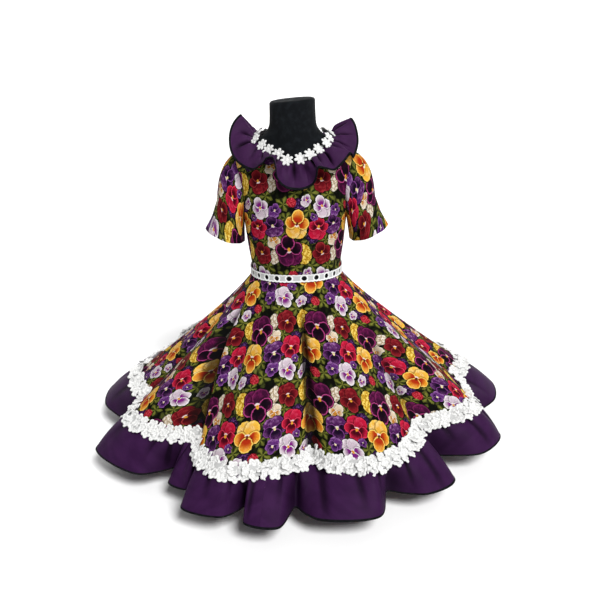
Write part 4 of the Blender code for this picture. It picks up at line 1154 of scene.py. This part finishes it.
def make_skirt():
    """Front and two backs, cut from rings of cloth with the print upright at the middle."""
    rows = np.concatenate([[0, SKIRT_BAND * 0.5], np.linspace(SKIRT_BAND, 1, 59)])
    gap = np.where(rows < ZIP_END, ZIP_WIDTH / 2 + SEAM, SEAM / 2)
    side = math.degrees(SEAM / 2) / reach_of(skirt(90.0, rows))
    centre = np.degrees(gap) / reach_of(skirt(180.0, rows))
    for name, azimuth, upright in panels("skirt", side, centre, 360):
        down = rows + 0 * azimuth
        faces = draped_skirt(azimuth, down), lifted(draped_skirt, azimuth, down, COTTON)
        steps = np.linalg.norm(np.diff(faces[0], axis=1), axis=-1).mean(axis=0)
        along = SKIRT_CUT_TOP + np.concatenate([[0], np.cumsum(steps)]) + 0 * azimuth
        turn = np.radians((azimuth - upright) * SKIRT_CUT_ANGLE / 180)
        flat = np.stack([along * np.sin(turn), -along * np.cos(turn)], axis=-1)
        reach = float(along.max())
        wide = reach if upright else 2 * reach
        share = SKIRT_CUT_ANGLE * (len(azimuth) - 1) / 360
        cloth_piece(
            name + "_cloth", name, "printed_cotton", faces,
            cut=(wide, reach), area=math.radians(share) * (reach**2 - SKIRT_CUT_TOP**2) / 2,
            flat=-flat if upright else flat,
            # painted shade deep in the creases
            hollow=smooth((creases(azimuth, down) - SHADE_FROM) / SHADE_OVER),
        )


def puckered(azimuth, ring):
    """Outer face of the bodice with soft drag lines over the chest and above the waist."""
    away = np.clip((ring - WAIST_RING) / (NECK_RING - WAIST_RING), 0, 1)
    calm = smooth(away * 6) * smooth((1 - away) * 6)
    depth = PUCKER * calm * waves(azimuth / 360 + ring * 0.013, (17, 0.6, 0.2), (29, 0.4, 0.6))
    return bodice(azimuth, ring, depth)


# Radii of the bodice under the arm and at the back, which turn its gaps into degrees
UNDERARM_RADIUS, BACK_RADIUS = 0.105, 0.075
CHEST_PRINT = 0.031, 0.02        # how far the print is shifted across and up the bodice
SLEEVE_PRINT = 0.05, 0.03        # and the sleeves


def make_bodice():
    hole = HOLE_MIDDLE - HOLE_HALF * np.cos(np.linspace(0, math.pi, 37))
    below = np.linspace(WAIST_RING, UNDERARM_RING, 13)[:-1]
    above = np.linspace(SHOULDER_RING, NECK_RING, 9)[1:]
    rings = np.concatenate([below, hole, above])
    side = armhole(rings) + math.degrees(SEAM / 2 / UNDERARM_RADIUS)
    zipped = math.degrees((ZIP_WIDTH / 2 + SEAM) / BACK_RADIUS)
    for name, azimuth, _ in panels("bodice", side, zipped, 108):
        outer = puckered(azimuth, rings)
        inner = outer - unit(outer - bodice(azimuth, rings, -0.02)) * COTTON
        cloth_piece(
            name + "_cloth", name, "printed_cotton", (outer, inner),
            flat=np.array(CHEST_PRINT) - laid_flat(outer),
        )


def soft_sleeve(shape, turn, down):
    """Outer face of a sleeve with the folds that its cuff falls into."""
    point = sleeve(shape, turn, down)
    outward = unit(point - sleeve(shape, turn + math.pi, down))
    folds = waves(turn / (2 * math.pi), (4, 0.5, 0.15), (7, 0.35, 0.4), (11, 0.15, 0.8))
    return point + outward * (CUFF_FOLD * smooth(down) * folds)[..., None]


def make_sleeves():
    turns = np.linspace(0, 2 * math.pi, 112, endpoint=False)
    turn, down = rows_and_columns(turns, np.linspace(0, 1, 41))
    for shape in SLEEVES:
        surface = partial(soft_sleeve, shape)
        faces = surface(turn, down), lifted(surface, turn, down, -shape.side * COTTON)
        place = np.array(SLEEVE_PRINT) * (shape.side, 1)
        cloth_piece(
            shape.name + "_cloth", shape.name, "printed_cotton", faces,
            closed=True, flat=laid_flat(faces[0], closed=True) + place,
        )
        hem = partial(lifted, surface, np.linspace(0, 2 * math.pi, 300), SLEEVE_HEM)
        stitches(shape.name + "_hem_stitches", lambda out: hem(shape.side * out), shape.name)


HOLLOW_KNOT, TUCK = 2, 0.0110    # the knot of a fold's hollow, and how far its cloth tucks in


def from_hollow(at):
    """Knots from the nearest hollow of the ruffle."""
    return (at - FOLD_KNOTS / 2 - HOLLOW_KNOT) % FOLD_KNOTS - FOLD_KNOTS / 2


def ruffle_pinch(at):
    """The small gathers under the lace: 1 on a round, less in a sharp hollow."""
    return 2 * (np.sin(math.pi * 1.27 * at + 1.2 * np.sin(at * 1.1)) ** 2 + 0.004) ** 0.30 - 1


def ruffle_painted_shade(at, down):
    """Painted shade: 1 where the ruffle's folds and gathers close up."""
    reach = 0.85 + 0.30 * np.sin(at * 1.9 + 0.4)
    small = smooth((0.50 - ruffle_pinch(at)) / 1.0) * smooth((reach - down) / 0.60)
    fold = np.exp(-((from_hollow(at) / 0.66) ** 2)) * smooth(0.35 + down)
    return np.clip(0.80 * small + 0.80 * fold, 0, 1)


def gathered_ruffle(at, down):
    """Outer face of the ruffle, with its own creases and the gathers under the lace."""
    azimuth = hem_plan(at)[0]
    point = ruffle(at, down)
    follow = creases(azimuth, 1 + 0 * at) * np.clip(1 - down, 0, 1) ** 1.5
    uneven = 0.75 + 0.25 * np.sin(at * 2.3)
    depth = RUFFLE_GATHER * np.clip(1 - down / 0.95, 0, 1) * ruffle_pinch(at) * uneven
    tuck = TUCK * np.exp(-((from_hollow(at) / 0.24) ** 2)) * smooth(down * 2)
    return point + level_out(point) * (depth - follow - tuck)[..., None]


def make_ruffle():
    back = float(knot_at(-180.0))
    joins = [back, 12.5, 24.5, 36.5, back + RUFFLE_KNOTS]
    names = ["ruffle_back_right", "ruffle_front_right", "ruffle_front_left", "ruffle_back_left"]
    bound = 1 - BINDING / RUFFLE_WIDTH
    rows = np.append(np.linspace(0, bound - 0.01, 15), bound + 0.02)
    for name, start, end in zip(names, joins, joins[1:]):
        at, down = rows_and_columns(np.linspace(start + 0.001, end - 0.001, 361), rows)
        faces = gathered_ruffle(at, down), lifted(gathered_ruffle, at, down, SATIN, 0.012)
        cloth_piece(
            name + "_cloth", name, "ruffle_satin", faces,
            hollow=ruffle_painted_shade(at, down),
        )


BINDING_CUT = 0.010      # width of the binding's strip before it is folded
BINDING_ACROSS = np.linspace(-1, 1, 9)
BINDING_ROUND = BINDING_WALL / 2 * (1 - BINDING_ACROSS**4) ** 0.5
BINDING_LIP = 0.00005    # so that both faces part at the binding's edges


def bound_rows(width):
    """Shares of a cloth's width that its binding takes up."""
    bound = 1 - BINDING / width
    return bound + (1 - bound) * (BINDING_ACROSS + 1) / 2


def make_hem_binding():
    at, down = rows_and_columns(np.arange(0, RUFFLE_KNOTS, 1 / 24), bound_rows(RUFFLE_WIDTH))
    normals = hem_normals(at[:, 0])[:, None]
    middle = gathered_ruffle(at, down) - normals * SATIN / 2
    outer = middle + normals * BINDING_ROUND[:, None]
    inner = middle - normals * (BINDING_ROUND + BINDING_LIP)[:, None]
    cloth_piece(
        "hem_binding_tape", "hem_binding", "black_binding", (outer, inner),
        cut=(laid_size(outer, True)[0], BINDING_CUT), closed=True,
    )


GATHER_ANGLE, SOFT_GATHER = 12.0, 0.0150    # degrees of the seam in each large gather, its depth


def collar_gathers(at):
    """The gathers along the seam, from less than 0 on a round to more in a sharp hollow, and
    the strength of each."""
    strength = 0.70 + 0.45 * waves(at, (0.37, 0.6, 0.2), (0.83, 0.4, 0.5))
    sewn = sewn_at(at)
    turn = math.pi * (sewn / GATHER_ANGLE + 0.3 * np.sin(sewn / 19))
    return 1.2 - 2 * (np.sin(turn) ** 2 + 0.003) ** 0.26, strength


def collar_painted_shade(at, out):
    """Painted shade: 1 where the gathers close up."""
    gather, strength = collar_gathers(at)
    reach = np.clip(1 - out / (0.30 + 0.60 * strength), 0, 1)
    return np.clip(smooth((gather + 0.55) / 1.15) * smooth(reach * 1.6) * strength * 1.25, 0, 1)


def fluted_collar(at, out):
    """Upper face of the collar with the gathers that run out from its seam."""
    fade = np.clip(1 - out / 0.92, 0, 1) * np.clip(out / 0.10, 0, 1)
    gather, strength = collar_gathers(at)
    deep = SOFT_GATHER * strength * gather * smooth((out - 0.05) / 0.35)
    depth = fade * (deep + GATHER_DEPTH * 0.3 * np.sin(2 * math.pi * GATHERS_PER_LOBE * (at + 0.125)))
    return lifted(collar, at, out, depth)


def make_collar():
    lobes = len(COLLAR) - 1
    columns = np.linspace(0, lobes, lobes * 20 + 1)
    body = 1 - (BINDING + SEAM) / COLLAR_WIDTH
    at, out = rows_and_columns(columns, np.append(np.linspace(0, body - 0.02, 24), body + 0.03))
    faces = fluted_collar(at, out), lifted(fluted_collar, at, out, SATIN, 0.012)
    cloth_piece(
        "collar_cloth", "collar", "collar_satin", faces,
        hollow=collar_painted_shade(at, out),
    )
    cut = laid_size(faces[0])[0], BINDING_CUT
    at, out = rows_and_columns(columns, bound_rows(COLLAR_WIDTH))
    outer = lifted(collar, at, out, SATIN / 2 - BINDING_ROUND)
    inner = lifted(collar, at, out, SATIN / 2 + BINDING_ROUND + BINDING_LIP)
    cloth_piece(
        "collar_binding_tape", "collar_binding", "black_binding", (outer, inner),
        cut=cut,
    )


def blossom(petals, dome, spokes, notch):
    """Points and faces of one small lace flower of radius 1, facing +Z, with domed petals and a
    knot of thread in its middle. Closed underneath."""
    count = petals * spokes
    turns = np.arange(count) / count
    lobes = np.abs(np.cos(math.pi * petals * turns)) ** 0.6
    shares = np.array([0.22, 0.45, 0.75, 0.93, 1.0])[:, None]
    heights = dome * np.array([0.55, 0.30, 1.0, 0.72, 0.12])[:, None]
    lift = heights * np.where(shares > 0.3, 0.45 + 0.55 * lobes, 1.0)
    reach = (1 - notch + notch * lobes) * shares
    angle = 2 * math.pi * turns
    rings = np.stack([reach * np.cos(angle), reach * np.sin(angle), lift], axis=-1)
    points = np.concatenate([[(0, 0, dome * 0.95)], rings.reshape(-1, 3), [(0, 0, -dome * 0.25)]])
    here = np.arange(count)
    after = (here + 1) % count
    starts = 1 + count * np.arange(len(shares))
    faces = [(0 * here, 1 + here, 1 + after)]
    for a, b in zip(starts, starts[1:]):
        faces += [(a + here, b + here, b + after), (a + here, b + after, a + after)]
    faces.append((starts[-1] + after, starts[-1] + here, 0 * here + len(points) - 1))
    return points, np.array(faces).transpose(2, 0, 1).reshape(-1, 3)


# Painted shade at the lowest points of each lace flower.
PETAL_PAINTED_SHADE = 0.62      # at the lowest points of a flower


def spun(right, up, turn, size):
    """Two axes turned in their plane and brought to a size."""
    c, s = np.cos(turn), np.sin(turn)
    return (right * c + up * s) * size, (up * c - right * s) * size


def strewn(name, finish, flower, places, rights, ups):
    """Many copies of one flower, joined into one piece, each with its own place and axes."""
    points, faces = flower
    outs = unit(np.cross(rights, ups)) * np.linalg.norm(rights, axis=-1, keepdims=True)
    frames = np.stack([rights, ups, outs], axis=1)
    placed = np.einsum("pk,nkx->npx", points, frames) + places[:, None]
    joined = faces[None] + np.arange(len(places))[:, None, None] * len(points)
    # Painted shade for lace flowers, deepest at each copy's lowest points.
    low = np.clip(1 - points[:, 2] / points[:, 2].max(), 0, 1)
    return mesh_piece(
        name, finish, placed.reshape(-1, 3), joined.reshape(-1, faces.shape[1]), sharp=35.0,
        hollow=np.tile(PETAL_PAINTED_SHADE * low**2, len(places)),
    )


# Rows of flowers in the hem lace: place across it, way from one flower to the next, their radius
# and their height over the lace's underside
HEM_ROWS = rows_of(
    "across pitch radius lift",
    (0.36, 0.0195, 0.0124, 0.0010), (-0.52, 0.0195, 0.0126, 0.0012), (-0.05, 0.0250, 0.0112, 0.0036),
)
# The net under the hem lace's flowers: its lift and wall, and the even painted shade that greys it.
NET_LIFT, NET_WALL, NET_PAINTED_SHADE = 0.0021, 0.0005, 0.80
FLOWER_STRAY, FLOWER_TIP = 0.0015, 0.30      # from an even row along it, and from its normal


def make_hem_lace():
    """Thick flower lace over the seam of skirt and ruffle: three staggered rows of flowers on a
    net greyed with painted shade."""
    chance = np.random.default_rng(7)
    flower = blossom(5, 0.26, 7, 0.42)
    for name, start in (("hem_lace_front", -90.0), ("hem_lace_back", 90.0)):
        flowers = []
        dense = start + np.linspace(0.3, 179.7, 4001)
        for k, row in enumerate(HEM_ROWS):
            line = partial(lace_line, lift=row.lift)
            length = way_along(line(dense, row.across))
            count = round(length[-1] / row.pitch)
            spots = (np.arange(count) + 0.40 + 0.20 * (k % 2)) / count * length[-1]
            spots = spots + chance.uniform(-FLOWER_STRAY, FLOWER_STRAY, count)
            azimuth = np.interp(spots, length, dense)
            along = unit(line(azimuth + 0.3, row.across) - line(azimuth - 0.3, row.across))
            rise = line(azimuth, row.across + 0.2) - line(azimuth, row.across - 0.2)
            out = unit(np.cross(along, rise)) + chance.normal(0, FLOWER_TIP, (count, 3))
            turn = chance.uniform(0, 2 * math.pi, count)[:, None]
            up = unit(np.cross(out, along))
            right = unit(np.cross(up, out))
            size = row.radius * chance.uniform(0.9, 1.08, count)[:, None]
            flowers.append((line(azimuth, row.across), *spun(right, up, turn, size)))
        places, rights, ups = (np.concatenate(rows) for rows in zip(*flowers))
        piece = strewn(name + "_flowers", "flower_lace", flower, places, rights, ups)
        put_on(piece, name)
        azimuths = start + np.linspace(0.3, 179.7, 721)
        azimuth, across = rows_and_columns(azimuths, np.linspace(-0.56, 0.38, 6))
        outer, inner = (lace_line(azimuth, across, lift) for lift in (NET_LIFT + NET_WALL, NET_LIFT))
        long = float(way_along(outer[:, 3])[-1])
        cloth_piece(
            name + "_net", name, "flower_lace", (outer, inner),
            cut=(long, covered(outer) / long * 1.001), hollow=NET_PAINTED_SHADE + 0 * azimuth,
        )


def lace_line(azimuth, across, lift):
    """Points of the hem lace, which follows the skirt's creases."""
    azimuth = np.asarray(azimuth, float)
    follow = creases(azimuth, 1 + 0 * azimuth)[..., None]
    return hem_lace(azimuth, across, lift) - level_out(skirt(azimuth, 1.0)) * follow


NECK_DAISIES, DAISY_RADIUS = 22, 0.0138


def make_neck_lace():
    """A chain of daisies over the collar's seam, each turned up or down in turn."""
    sewn = table(COLLAR, "sewn")
    number = np.arange(NECK_DAISIES)
    edges = np.linspace(sewn[0] + 0.6, sewn[-1] - 0.6, NECK_DAISIES * 8 + 1)
    at = np.interp(edges, sewn, np.arange(len(COLLAR)))
    low, mid, high = (neck_lace(at, f + 0 * at, 0.0008) for f in (-0.45, 0.0, 0.45))
    picks = number * 8 + 4
    along = unit(np.gradient(mid, axis=0))[picks]
    rise = unit(high - low)[picks]
    swap = np.where(number % 2, 1.0, -1.0)[:, None]
    place = mid[picks] + rise * 0.0020 * swap
    facing = unit(level_out(place) * 0.85 + np.array([0, 0, 0.55]))
    facing = unit(facing + unit(np.cross(along, rise)) * 0.25)
    rise = unit(np.cross(facing, along))
    axes = spun(unit(np.cross(rise, facing)), rise, number[:, None] * 0.7, DAISY_RADIUS)
    flower = blossom(7, 0.20, 7, 0.62)
    piece = strewn("neck_lace_daisies", "flower_lace", flower, place, *axes)
    put_on(piece, "neck_lace")


# Radii of the waist at the back, of its mean and of the belt, which turn widths into degrees
WAIST_BACK_RADIUS, WAIST_RADIUS, BELT_RADIUS = 0.081, 0.090, 0.0906


def ridge(distance, width):
    """Height of a rounded cord at a distance from its middle, 0 to 1."""
    return np.exp(-((distance / width) ** 2))


def make_belt():
    """Eyelet lace with buttonhole rims and scalloped edges, over a black ribbon."""
    half_open = math.degrees(BELT_OPENING / 2 / WAIST_BACK_RADIUS)
    start, end = -180 + half_open, 180 - half_open
    heights = np.linspace(-1, 1, 5) * RIBBON_WIDTH / 2
    azimuth, height = rows_and_columns(np.linspace(start, end, 361), heights)
    faces = belt(azimuth, height, BELT_AIR + RIBBON_WALL), belt(azimuth, height, BELT_AIR)
    cloth_piece(
        "waist_ribbon_satin", "waist_ribbon", "black_ribbon", faces
    )
    pitch = (end - start) / EYELETS
    half_width = math.degrees(EYELET_HALF_WIDTH / WAIST_RADIUS) / pitch
    per_cell = 28
    share = np.arange(EYELETS * per_cell + 1) / per_cell
    local = (share % 1) - 0.5
    hole = EYELET_HALF_HEIGHT * np.sqrt(np.clip(1 - (local / half_width) ** 2, 0, 1))
    scallop = BELT_WIDTH / 2 * (0.88 + 0.12 * np.abs(np.sin(share * math.pi * 3)))
    strips = []
    steps = np.linspace(0, 1, 9)
    for side in (1, -1):
        height = side * (hole[:, None] + (scallop - hole)[:, None] * steps)
        x = local[:, None] * (BELT_RADIUS * math.radians(pitch))
        ring = np.sqrt((x / EYELET_HALF_WIDTH) ** 2 + (height / EYELET_HALF_HEIGHT) ** 2)
        rim = ridge(ring - 1.22, 0.17)
        edge = ridge(np.abs(height) - scallop[:, None] + 0.0009, 0.0008)
        cords = 0.5 + 0.5 * np.sin(share[:, None] * 2 * math.pi * 8 + steps * 3)
        raised = 0.0006 * rim + 0.0005 * edge + 0.00015 * cords
        web = smooth((ring - 1.45) / 0.25) * (1 - smooth((np.abs(height) - 0.0048) / 0.0010))
        strips.append((start + pitch * share[:, None] + 0 * height, height, raised, web))
    high, low = strips
    azimuth, height, raised, web = (np.concatenate([l[:, ::-1], h], axis=1) for l, h in zip(low, high))
    out = BELT_AIR + RIBBON_WALL + SEAM
    outer = belt(azimuth, height, out + EYELET_LACE_WALL + raised)
    lace_belt(outer, belt(azimuth, height, out), web, len(steps))


def lace_belt(outer, inner, web, rows):
    """The belt's lower and upper strips, which part round each eyelet, in one piece."""
    halves = slice(0, rows), slice(rows, 2 * rows)
    low, high = (cloth_mesh(outer[:, half], inner[:, half]) for half in halves)
    points, places = (np.concatenate([low[k], high[k]]) for k in (0, 2))
    faces = np.concatenate([low[1], high[1] + len(low[0])])
    hollow = np.concatenate([np.tile(web[:, half].ravel(), 2) for half in halves])
    lace = mesh_piece("waist_lace_band", "eyelet_lace", points, faces, places, hollow=hollow)
    put_on(lace, "waist_lace")


def turned(name, profile, finish, segments):
    """A round piece from (radius, height) points, bottom to top."""
    angle = np.linspace(0, 2 * math.pi, segments, endpoint=False)[:, None]
    radius, height = np.array(profile).T
    points = np.stack([radius * np.cos(angle), radius * np.sin(angle), height + 0 * angle], axis=-1)
    return capped(name, points, finish)


def capped(name, rings, finish):
    columns, rows = rings.shape[:2]
    across, up = quads(columns, rows, True)
    faces = ((across % columns) * rows + up).tolist()
    faces.append([i * rows for i in range(columns)][::-1])
    faces.append([i * rows + rows - 1 for i in range(columns)])
    return mesh_piece(name, finish, rings.reshape(-1, 3), faces, sharp=40.0)


# Shrinking rings that round off the form: their width and depth as shares of the end ring, and
# their way past it as a share of the rounding
FORM_END = [(0.90, 1), (0.945, 0.85), (0.98, 0.5)]
FORM_CAP = [(0.985, 0.35), (0.95, 0.72), (0.88, 0.92), (0.6, 1.0), (0.2, 1.02)]


def make_form():
    """Torso and neck of the form in one smooth cover, with a rounded end below and a cap above."""
    body = torso(*rows_and_columns(np.arange(0, 360, 3.0), np.linspace(0, TOP_RING, 113)))
    below = [body[:, :1] * (f, f, 1) - (0, 0, FORM_BEVEL * d) for f, d in FORM_END]
    cap = [body[:, -1:] * (f, f, 1) + (0, 0, NECK_EDGE * r) for f, r in FORM_CAP]
    piece = capped("form_cover_jersey", np.concatenate([*below, body, *cap], axis=1), "form_cover")
    put_on(piece, "form_torso")


def make_stand():
    bends = np.linspace(0, math.pi / 2, 7)
    radii = BASE_RADIUS - BASE_EDGE * (1 - np.cos(bends))
    rim = zip(radii, BASE_THICKNESS - BASE_EDGE * (1 - np.sin(bends)))
    base = [(BASE_RADIUS - BASE_EDGE / 2, 0), (BASE_RADIUS, BASE_EDGE / 2), *rim]
    put_on(turned("stand_base_steel", base, "stand_paint", 128), "stand_base")
    foot, end = BASE_THICKNESS + SEAM, WAIST + TORSO[0].side - FORM_BEVEL - SEAM
    inside = POLE_RADIUS - POLE_EDGE
    shaft = [(POLE_RADIUS, foot + POLE_EDGE), (POLE_RADIUS, end - POLE_EDGE)]
    pole = [(inside, foot), *shaft, (inside, end)]
    put_on(turned("stand_pole_steel", pole, "stand_paint", 48), "stand_pole")


TOOTH_PITCH, STITCH_PITCH = 0.00115, 0.0026
ZIP_SEEN = 0.0031        # the least width of the tape that its area counts
ZIP_STITCHES = 0.0028    # from the tape's edge to the stitches beside it
STITCH_RADIUS = 0.077    # of the back at those stitches
TOOTH = 0.00105, 0.00034, 0.00022        # half its width, length and thickness
TOOTH_STEP, TOOTH_RISE = 0.00030, 0.00012
STITCH = 0.00022, STITCH_PITCH * 0.36, 0.00016
THREAD_LIFT, EASED_EDGE = 0.00005, 0.00016


def make_zip():
    """Tape with its closed teeth, down the centre back."""
    below = skirt(180.0, np.linspace(ZIP_END, SKIRT_BAND, 8))
    line = np.concatenate([below, bodice(180.0, np.linspace(WAIST_RING, NECK_RING, 60))])
    behind = unit(np.cross(np.gradient(line, axis=0), np.array([1.0, 0, 0]))) * -ZIP_WALL
    half = np.full(len(line), ZIP_WIDTH / 2)
    half[0] = ZIP_TIP / 2
    across = np.linspace(1, -1, 7)
    face = line[None] + across[:, None, None] * half[None, :, None] * np.array([1.0, 0, 0])
    tape = mesh_piece("zip_tape_cloth", "zip_tape", *cloth_mesh(face, face + behind))
    put_on(tape, "zip_strip")
    teeth = make_teeth(line[len(below):], unit(-behind[len(below):]))
    long = float(laid_flat(face)[..., 1].max())
    max(covered(face), ZIP_SEEN * long)
    rings = np.linspace(WAIST_RING + 0.15, NECK_RING - 0.1, 400)
    turn = 180.0 - math.degrees((ZIP_WIDTH / 2 + ZIP_STITCHES) / STITCH_RADIUS)
    for side, name in ((1, "left"), (-1, "right")):
        stitches("zip_stitches_" + name, partial(bodice, side * turn, rings), "bodice_back_" + name)


def slab(half_across, half_along, half_out):
    """Points and faces of a small block with eased ends."""
    points = [
        (x * half_across * f, y * half_along * f, z * half_out)
        for z, f in ((-1, 1.0), (0.5, 1.0), (1, 0.72)) for x, y in ((-1, -1), (1, -1), (1, 1), (-1, 1))
    ]
    faces = [(3, 2, 1, 0), (8, 9, 10, 11)]
    for a, b in ((0, 4), (4, 8)):
        faces += [(a + k, a + (k + 1) % 4, b + (k + 1) % 4, b + k) for k in range(4)]
    return np.array(points), np.array(faces)


def evenly(line, pitch):
    """Places at an even pitch along a line, with the way along it."""
    length = way_along(line)
    spots = np.arange(pitch / 2, length[-1], pitch)
    place = np.stack([np.interp(spots, length, line[:, k]) for k in range(3)], axis=1)
    return spots / length[-1] * (len(line) - 1), place, unit(np.gradient(place, axis=0))


def make_teeth(line, outs):
    """Closed zip teeth, in turn from the left and from the right tape."""
    at, place, along = evenly(line, TOOTH_PITCH)
    out = np.stack([np.interp(at, np.arange(len(line)), outs[:, k]) for k in range(3)], axis=1)
    right = unit(np.cross(along, out))
    side = np.where(np.arange(len(place)) % 2, 1.0, -1.0)[:, None]
    place = place + right * side * TOOTH_STEP + out * TOOTH_RISE
    piece = strewn("zip_teeth", "zip_metal", slab(*TOOTH), place, right, along)
    return put_on(piece, "zip_strip")


def stitches(name, surface, node):
    """A row of thread stitches on a cloth, along the line that surface gives for a height."""
    _, place, along = evenly(surface(THREAD_LIFT), STITCH_PITCH)
    high = evenly(surface(THREAD_LIFT + 0.001), STITCH_PITCH)[1]
    out = unit(high[:len(place)] - place[:len(high)])
    place, along = place[:len(out)], along[:len(out)]
    right = unit(np.cross(along, out))
    piece = strewn(name, "black_thread", slab(*STITCH), place, right, along)
    return put_on(piece, node)


def make_slider_and_pull():
    """The slider and its pull, with eased edges."""
    for node, body in (("zip_slider", "dress"), ("zip_pull", "pull")):
        form = bmesh.new()
        form.from_mesh(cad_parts[node].data)
        bmesh.ops.remove_doubles(form, verts=form.verts, dist=0.00002)
        bmesh.ops.dissolve_limit(form, angle_limit=0.02, verts=form.verts, edges=form.edges)
        corners = [edge for edge in form.edges if edge.is_manifold and edge.calc_face_angle() > 0.5]
        bmesh.ops.bevel(
            form, geom=corners, offset=EASED_EDGE, segments=2, profile=0.7, affect="EDGES",
            clamp_overlap=True,
        )
        mesh = bpy.data.meshes.new(node + "_enamel")
        form.to_mesh(mesh)
        form.free()
        put_on(finished(node + "_enamel", mesh, "zip_metal", 40.0), node, body=body)


def set_sockets(material, shader, **values):
    """Constants on the sockets of a shader in a material's or a world's nodes."""
    material.use_nodes = True
    for name, value in values.items():
        material.node_tree.nodes[shader].inputs[name.replace("_", " ")].default_value = value


# The window light comes from there, as strong and as wide as this
SUN_FROM, SUN_POWER, SUN_WIDTH = (0.42, -0.72, 0.92), 3.70, 22
ROOM_LIGHT = 0.235
CAMERA_PLACE, CAMERA_DOWN, CAMERA_ROLL, LENS = (0.006, -1.5, 0.862), 0.363, -1.4, 42.86


def studio():
    """A white sweep, a soft window light, the white room and the camera."""
    floor = bpy.data.meshes.new("floor")
    wide, bend, back = 9.0, 1.5, 3.0
    turn = np.linspace(0, math.pi / 2, 17)
    sweep = zip(back + bend * np.sin(turn), bend - bend * np.cos(turn))
    profile = [(-wide, 0), *sweep, (back + bend, wide)]
    points = [(x, y, z) for y, z in profile for x in (-wide, wide)]
    strips = range(len(profile) - 1)
    floor.from_pydata(points, [], [(2 * k, 2 * k + 1, 2 * k + 3, 2 * k + 2) for k in strips])
    floor.shade_smooth()
    paper = bpy.data.materials.new("white paper")
    set_sockets(paper, "Principled BSDF", Base_Color=(0.97, 0.97, 0.97, 1), Roughness=0.9)
    floor.materials.append(paper)
    sun = bpy.data.lights.new("window light", "SUN")
    sun.energy, sun.angle = SUN_POWER, math.radians(SUN_WIDTH)
    lamp = placed("window light", sun)
    lamp.rotation_euler = Vector(SUN_FROM).to_track_quat("Z", "Y").to_euler()
    placed("floor", floor)
    world = bpy.data.worlds.new("white room")
    set_sockets(world, "Background", Color=(1, 1, 1, 1), Strength=ROOM_LIGHT)
    bpy.context.scene.world = world
    lens = bpy.data.cameras.new("camera")
    lens.lens, lens.sensor_width, lens.clip_start = LENS, 36.0, 0.05
    eye = placed("camera", lens)
    tilt = Matrix.Rotation(math.pi / 2 - CAMERA_DOWN, 4, "X")
    roll = Matrix.Rotation(math.radians(CAMERA_ROLL), 4, "Z")
    eye.matrix_world = Matrix.Translation(CAMERA_PLACE) @ tilt @ roll
    bpy.context.scene.camera = eye
    bpy.context.scene.view_settings.view_transform = "Standard"


for make in (
    make_form, make_stand, make_bodice, make_sleeves, make_skirt, make_ruffle, make_hem_binding,
    make_collar, make_neck_lace, make_hem_lace, make_belt, make_zip, make_slider_and_pull, studio,
):
    make()
